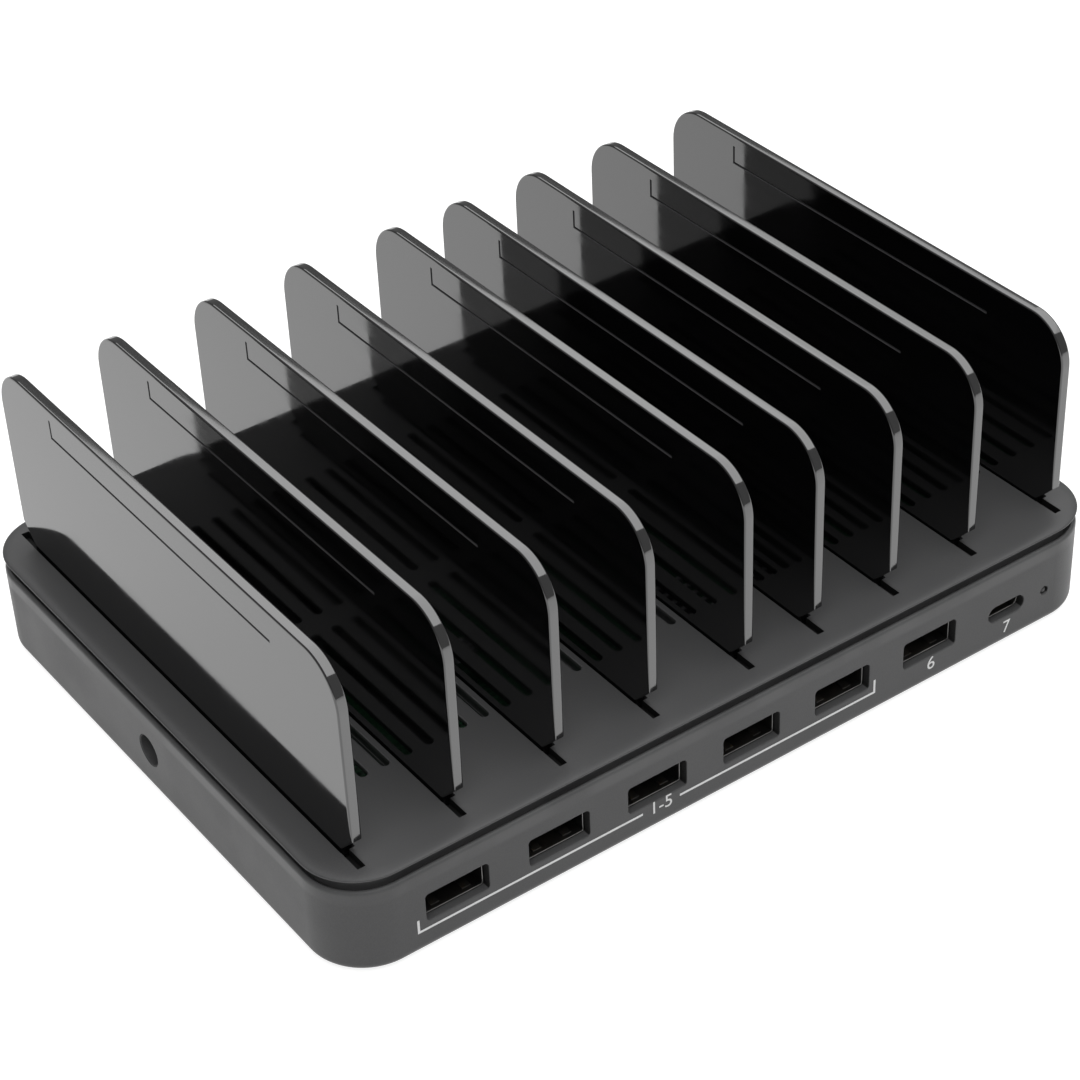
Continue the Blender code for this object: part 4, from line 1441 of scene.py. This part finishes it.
@dataclass
class FrontPorts:
    """The six USB-A ports and the USB-C port."""

    usb_a_corner: float = 0.6 * MM
    usb_a_contacts: tuple[float, ...] = (-3.5 * MM, -1.0 * MM, 1.0 * MM, 3.5 * MM)
    usb_a_contact_width: float = 1.0 * MM
    usb_a_block: float = 3.5 * MM
    usb_a_tongue: Pair = (11.1 * MM, 1.84 * MM)
    usb_a_tongue_offset: float = 0.94 * MM
    usb_c_contact_count: int = 12
    usb_c_contact_pitch: float = 0.5 * MM
    usb_c_contact_width: float = 0.26 * MM
    usb_c_block: float = 2.0 * MM
    usb_c_tongue: Pair = (6.7 * MM, 0.7 * MM)
    usb_c_contact_height: float = 0.05 * MM

    def build(self) -> list[bpy.types.Object]:
        """Makes every port.

        Returns:
            The pieces of all ports.
        """
        pieces: list[bpy.types.Object] = []
        for number, shell in enumerate(numbered("usb_a_shell_"), 1):
            port = Socket(
                shell_node=shell,
                insert_node=f"usb_a_tongue_{number}",
                name=f"usb_a_{number}",
                corner=self.usb_a_corner,
                contact_width=self.usb_a_contact_width,
                contact_places=self.usb_a_contacts,
                contact_sides=(-1,),
                block_length=self.usb_a_block,
                tongue_width=self.usb_a_tongue[0],
                tongue_thickness=self.usb_a_tongue[1],
                tongue_offset=self.usb_a_tongue_offset,
                has_springs=True,
            )
            pieces += port.build()
        first = -(self.usb_c_contact_count - 1) / 2 * self.usb_c_contact_pitch
        places = tuple(first + index * self.usb_c_contact_pitch for index in range(self.usb_c_contact_count))
        low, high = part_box("usb_c_shell")
        oval = Socket(
            shell_node="usb_c_shell",
            insert_node="usb_c_tongue",
            name="usb_c",
            corner=(high.z - low.z) / 2,
            contact_width=self.usb_c_contact_width,
            contact_places=places,
            contact_sides=(-1, 1),
            block_length=self.usb_c_block,
            tongue_width=self.usb_c_tongue[0],
            tongue_thickness=self.usb_c_tongue[1],
            contact_height=self.usb_c_contact_height,
        )
        return pieces + oval.build()


@dataclass
class StatusLight:
    """The small light right of the ports: a domed light guide on its body."""

    lens_radius: float = 0.65 * MM
    dome: float = 0.35 * MM
    body_size: Pair = (3.0 * MM, 2.5 * MM)
    body_length: float = 4.0 * MM
    edge: float = 0.25 * MM
    corner_share: float = 1.2
    steps: int = 8

    def build(self) -> list[bpy.types.Object]:
        """Makes the light, in place of its CAD solid.

        Returns:
            The light guide alone, as a list.
        """
        low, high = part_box("status_light")
        centre = (low + high) / 2
        place = out_of_front(Vector((centre.x, low.y, centre.z)))
        length = high.y - low.y
        front = self.body_length - length
        profile = [(self.lens_radius, front - self.edge)]
        for step in range(self.steps):
            angle = QUARTER_TURN * step / self.steps
            profile.append((self.lens_radius * math.cos(angle), self.dome * (math.sin(angle) - 1)))
        blank = Blank().turn(profile, self.steps, place)
        blank.slab(self.body_size, (-length, front), self.corner_share * self.edge, self.edge, place)
        return [show(blank.data("status_light_guide", LENS.material()), nodes=["status_light"])]


@dataclass
class PowerInlet:
    """The round power inlet in the left wall: a body with a bore, its centre pin and a side spring."""

    bore_radius: float = 3.0 * MM
    bore_depth: float = 9.5 * MM
    bore_mouth: float = 0.4 * MM
    mouth_steps: int = 4
    body_edge: float = 0.4 * MM
    corner_share: float = 1.25
    pin_radius: float = 1.0 * MM
    pin_seat: float = 1.5 * MM
    pin_set_back: float = 1.0 * MM
    pin_bore: float = 0.35 * MM
    drill_reach: float = 3.0
    nose_share: float = 0.8
    nose_steps: int = 5
    spring_width: float = 1.4 * MM
    spring_start: float = 1.2 * MM
    spring_share: float = 0.7
    spring_seat: float = 0.97
    spring_steps: int = 10
    spring_rise: float = 0.5 * MM
    spring_sheet: float = 0.15 * MM
    steps: int = 16

    def build(self) -> list[bpy.types.Object]:
        """Makes body, pin and spring, the first two in place of their CAD solids.

        Returns:
            The three pieces.
        """
        low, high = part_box("dc_jack_body")
        centre = (low + high) / 2
        place = out_of_left(Vector((low.x, centre.y, centre.z)))
        side, length = high.y - low.y, high.x - low.x
        edge = self.body_edge
        body = Blank().slab((side, side), (-length, 0.0), self.corner_share * edge, edge, place)
        seat = self.pin_radius + GAP / 3
        pairs = [(seat, -self.bore_depth - self.pin_seat), (seat, -self.bore_depth)]
        pairs.append((self.bore_radius, -self.bore_depth))
        mouth = reversed(edge_round(self.bore_mouth, self.mouth_steps))
        pairs += [(self.bore_radius + inset, -depth) for inset, depth in mouth]
        pairs.append((self.bore_radius + self.bore_mouth, OVERRUN))
        bore = Blank().turn(pairs, self.steps, place).data("dc_jack_bore")
        carved = worked(body.data("power_inlet_body", INLET_BLACK.material()), [(Work.CUT, bore)])
        return [
            show(carved, nodes=["dc_jack_body"]),
            show(self.pin(place), nodes=["dc_jack_pin"]),
            show(self.spring(place)),
        ]

    def pin(self, place: Matrix) -> bpy.types.Mesh:
        """The centre pin, round at its tip and drilled up its middle.

        Args:
            place: the middle of the bore's mouth, facing out.

        Returns:
            The pin's mesh.
        """
        tip, radius, drill = -self.pin_set_back, self.pin_radius, self.pin_bore
        profile = [(radius, GAP - self.bore_depth - self.pin_seat)]
        nose = (radius - drill) * self.nose_share
        for step in range(self.nose_steps + 1):
            angle = QUARTER_TURN * step / self.nose_steps
            profile.append((radius - nose * (1 - math.cos(angle)), tip - nose * (1 - math.sin(angle))))
        profile += [(drill, tip - drill / 2), (drill, tip - self.drill_reach * drill)]
        return Blank().turn(profile, self.steps, place).data("power_inlet_pin", INLET_METAL.material())

    def spring(self, place: Matrix) -> bpy.types.Mesh:
        """The bowed side spring in the bore's floor.

        Args:
            place: the middle of the bore's mouth, facing out.

        Returns:
            The spring's mesh.
        """
        reach = self.bore_depth * self.spring_share
        floor = -self.bore_radius * self.spring_seat
        shares = [index / self.spring_steps for index in range(self.spring_steps + 1)]
        rises = [self.spring_rise * math.sin(math.pi * share) for share in shares]
        top = [(-self.spring_start - reach * share, floor + rise) for share, rise in zip(shares, rises)]
        under = [(level, height - self.spring_sheet) for level, height in reversed(top)]
        ends = (-self.spring_width / 2, self.spring_width / 2)
        turn = Matrix.Rotation(QUARTER_TURN, 4, "Z")
        rings = [[Vector((x, height, level)) for level, height in top + under] for x in ends]
        return Blank().draw_out(rings, place @ turn).data("power_inlet_spring", INLET_METAL.material())


@dataclass
class Feet:
    """Four rubber feet with a softened edge and a ring pressed into their soles."""

    edge: float = 0.3 * MM
    edge_steps: int = 4
    ring_share: float = 0.6
    ring_width: float = 0.5 * MM
    ring_depth: float = 0.25 * MM
    steps: int = 12

    def build(self) -> list[bpy.types.Object]:
        """Makes the feet, in place of their CAD solids.

        Returns:
            The four feet.
        """
        pieces: list[bpy.types.Object] = []
        for node in numbered("rubber_foot_"):
            low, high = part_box(node)
            radius = (high.x - low.x) / 2
            ring = radius * self.ring_share
            profile = [(ring - self.ring_width, low.z), (ring - self.ring_width, low.z + self.ring_depth)]
            profile += [(ring, low.z + self.ring_depth), (ring, low.z)]
            rounding = edge_round(self.edge, self.edge_steps)
            profile += [(radius - inset, low.z + depth) for inset, depth in rounding]
            profile.append((radius, high.z))
            place = Matrix.Translation((*middle(node).xy, 0.0))
            data = Blank().turn(profile, self.steps, place).data(f"{node}_moulded", FOOT_RUBBER.material())
            pieces.append(show(data, nodes=[node]))
        return pieces


@dataclass
class FrontPrint:
    """What is printed under the ports: a long bracket round a number range, and two single numbers."""

    shape: CaseShape
    line_height: float = 5.1 * MM
    stroke: float = 0.5 * MM
    bracket: Pair = (-76.5 * MM, 31.7 * MM)
    tick_tops: Pair = (8.0 * MM, 8.2 * MM)
    gap: Pair = (-25.8 * MM, -17.0 * MM)
    texts: tuple[str, ...] = ("1-5", "6", "7")
    sizes: tuple[float, ...] = (4.2 * MM, 4.4 * MM, 4.2 * MM)
    sixth_place: Pair = (46.4 * MM, 4.8 * MM)
    seventh_place: Pair = (66.8 * MM, 4.0 * MM)

    def strokes(self) -> Blank:
        """Draws the bracket's line, in two runs, and its two upturned ends.

        Returns:
            The blank.
        """
        blank = Blank()
        base = self.shape.underside
        half = self.stroke / 2
        middle_z = base + self.line_height
        rows = [(self.bracket[0], self.gap[0], middle_z - half, middle_z + half)]
        rows.append((self.gap[1], self.bracket[1], middle_z - half, middle_z + half))
        left, right = self.bracket
        rows.append((left, left + self.stroke, middle_z + half, base + self.tick_tops[0]))
        rows.append((right - self.stroke, right, middle_z + half, base + self.tick_tops[1]))
        face = self.shape.low.y
        for start, end, bottom, top in rows:
            blank.box((start, face, bottom), (end, face + INK_THICKNESS, top))
        return blank

    def text(self, name: str, body: str, size: float, centre: Pair) -> bpy.types.Mesh:
        """A printed number as a mesh.

        Args:
            name: the piece's name.
            body: what it says.
            size: the height of a line of it.
            centre: its middle along the wall, and its height above the case's underside.

        Returns:
            The mesh, in place on the front wall.
        """
        curve = bpy.data.curves.new(name, "FONT")
        curve.body = body
        curve.size = size
        curve.align_x = "CENTER"
        curve.align_y = "CENTER"
        curve.extrude = INK_THICKNESS / 2
        curve.materials.append(WHITE_INK.material())
        data = evaluated(name, curve)
        place = Vector((centre[0], self.shape.low.y + INK_THICKNESS / 2, self.shape.underside + centre[1]))
        data.transform(out_of_front(place))
        return data

    def build(self) -> list[bpy.types.Object]:
        """Makes the bracket and the numbers.

        Returns:
            The printed pieces.
        """
        bracket = self.strokes().data("printed_bracket", WHITE_INK.material())
        centre = (sum(self.gap) / 2, self.line_height)
        pieces = [show(bracket)]
        names = ("printed_range", "printed_six", "printed_seven")
        places = (centre, self.sixth_place, self.seventh_place)
        for name, body, size, place in zip(names, self.texts, self.sizes, places):
            pieces.append(show(self.text(name, body, size, place)))
        return pieces


@dataclass
class BoardParts:
    """The circuit board and what stands on it or holds it, which keep their CAD shapes."""

    def finishes(self) -> dict[str, Finish]:
        """Which finish each of these CAD nodes has.

        Returns:
            A finish for each node's name.
        """
        rows: dict[str, Finish] = {"circuit_board": BOARD_MASK, "heat_sink": SINK_METAL}
        rows["controller_chip"] = CHIP_RESIN
        rows |= dict.fromkeys(numbered("capacitor_"), CAN_ALUMINIUM)
        rows |= dict.fromkeys(numbered("inductor_"), FERRITE)
        rows |= dict.fromkeys(numbered("board_screw_") + numbered("case_screw_"), SCREW_STEEL)
        return rows

    def build(self) -> list[bpy.types.Object]:
        """Dresses the board's CAD nodes.

        Returns:
            The dressed nodes.
        """
        pieces: list[bpy.types.Object] = []
        for name, finish in self.finishes().items():
            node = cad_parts[name]
            node.data.materials.clear()
            node.data.materials.append(finish.material())
            pieces.append(node)
        return pieces


@dataclass(frozen=True)
class Softbox:
    """A soft lamp."""

    name: str
    place: Place
    target: Place
    size: Pair
    radiance: float
    in_mirrors: bool = True

    def build(self) -> bpy.types.Object:
        """Hangs the lamp, turned to its target.

        Returns:
            The lamp.
        """
        lamp = bpy.data.lights.new(self.name, "AREA")
        lamp.shape = "RECTANGLE"
        lamp.size, lamp.size_y = self.size
        lamp.energy = self.radiance * math.pi * self.size[0] * self.size[1]
        item = bpy.data.objects.new(self.name, lamp)
        bpy.context.scene.collection.objects.link(item)
        item.location = self.place
        item.rotation_euler = (Vector(self.target) - Vector(self.place)).to_track_quat("-Z", "Y").to_euler()
        item.visible_glossy = self.in_mirrors
        return item


@dataclass
class Studio:
    """A white floor, a plain grey room, soft lamps and the camera."""

    floor_size: float = 30.0
    floor_albedo: float = 0.55
    seen_albedo: float = 0.4
    seen_glow: float = 0.8
    room_level: float = 0.3
    lamps: tuple[Softbox, ...] = (
        Softbox("overhead_panel", (0.42, 0.28, 1.2), (0.42, 0.28, 0.0), (1.44, 2.56), 1.8),
        Softbox("right_panel", (1.28, 0.28, 1.2), (1.28, 0.28, 0.0), (0.28, 2.56), 1.45),
        Softbox("front_left_lamp", (-0.4, -0.5, 0.9), (0.0, 0.0, 0.0), (0.8, 0.8), 3.7, in_mirrors=False),
    )
    camera_place: Place = (-0.26024, -0.38111, 0.361)
    camera_look: Place = (0.45294, 0.6633, -0.59571)
    camera_right: Place = (0.80886, -0.58675, -0.03833)
    camera_lens: float = 93.77
    sensor: float = 36.0
    near_clip: float = 0.01

    def floor_material(self) -> bpy.types.Material:
        """A floor's finish, white to the camera and to mirrors, which still takes the station's soft shadow.

        Returns:
            The material.
        """
        sheet = NodeSheet("white_floor")
        sheet.tree.nodes.clear()
        path = sheet.add("ShaderNodeLightPath").outputs
        seen = sheet.larger(path["Is Camera Ray"], path["Is Glossy Ray"])
        seen = sheet.larger(seen, path["Is Transmission Ray"])
        plain, shown = [(level, level, level) for level in (self.floor_albedo, self.seen_albedo)]
        diffuse = sheet.add("ShaderNodeBsdfDiffuse", {"Color": sheet.tint(seen, plain, shown)})
        glow = sheet.add("ShaderNodeEmission", {"Strength": sheet.product(seen, self.seen_glow)})
        both = sheet.add("ShaderNodeAddShader", {0: diffuse.outputs[0], 1: glow.outputs[0]})
        sheet.add("ShaderNodeOutputMaterial", {"Surface": both.outputs[0]})
        return sheet.material

    def floor(self) -> bpy.types.Object:
        """Lays the floor, which isn't part of the station.

        Returns:
            The floor.
        """
        mesh = bmesh.new()
        bmesh.ops.create_grid(mesh, x_segments=1, y_segments=1, size=self.floor_size / 2)
        data = bpy.data.meshes.new("floor")
        mesh.to_mesh(data)
        mesh.free()
        data.materials.append(self.floor_material())
        floor = bpy.data.objects.new("floor", data)
        bpy.context.scene.collection.objects.link(floor)
        return floor

    def room(self) -> None:
        """Lights the station evenly from all round."""
        world = bpy.data.worlds.new("studio_room")
        world.use_nodes = True
        background = world.node_tree.nodes["Background"]
        background.inputs["Color"].default_value = (1.0, 1.0, 1.0, 1.0)
        background.inputs["Strength"].default_value = self.room_level
        bpy.context.scene.world = world

    def camera(self) -> bpy.types.Object:
        """Sets the camera at the photograph's place and angle.

        Returns:
            The camera.
        """
        right, look = Vector(self.camera_right).normalized(), Vector(self.camera_look).normalized()
        up = right.cross(look).normalized()
        data = bpy.data.cameras.new("camera")
        data.lens, data.sensor_width = self.camera_lens, self.sensor
        data.clip_start = self.near_clip
        item = bpy.data.objects.new("camera", data)
        bpy.context.scene.collection.objects.link(item)
        axes = Matrix((right, up, -look)).transposed().to_4x4()
        item.matrix_world = Matrix.Translation(self.camera_place) @ axes
        bpy.context.scene.camera = item
        return item

    def build(self) -> list[bpy.types.Object]:
        """Sets up floor, room, lamps, camera and the plain view transform.

        Returns:
            Floor, camera and lamps.
        """
        self.room()
        bpy.context.scene.view_settings.view_transform = "Standard"
        return [self.floor(), self.camera()] + [lamp.build() for lamp in self.lamps]


def main() -> None:
    logging.basicConfig(level=logging.INFO, format="%(message)s")
    shape = CaseShape()
    assemblies = (
        BottomTray(shape),
        TopCover(shape),
        DividerRack(shape),
        FrontPorts(),
        StatusLight(),
        PowerInlet(),
        Feet(),
        FrontPrint(shape),
        BoardParts(),
        Studio(),
    )
    for assembly in assemblies:
        for piece in assembly.build():
            LOG.info("%s: %s", type(assembly).__name__, piece.name)


if __name__ == "__main__":
    main()
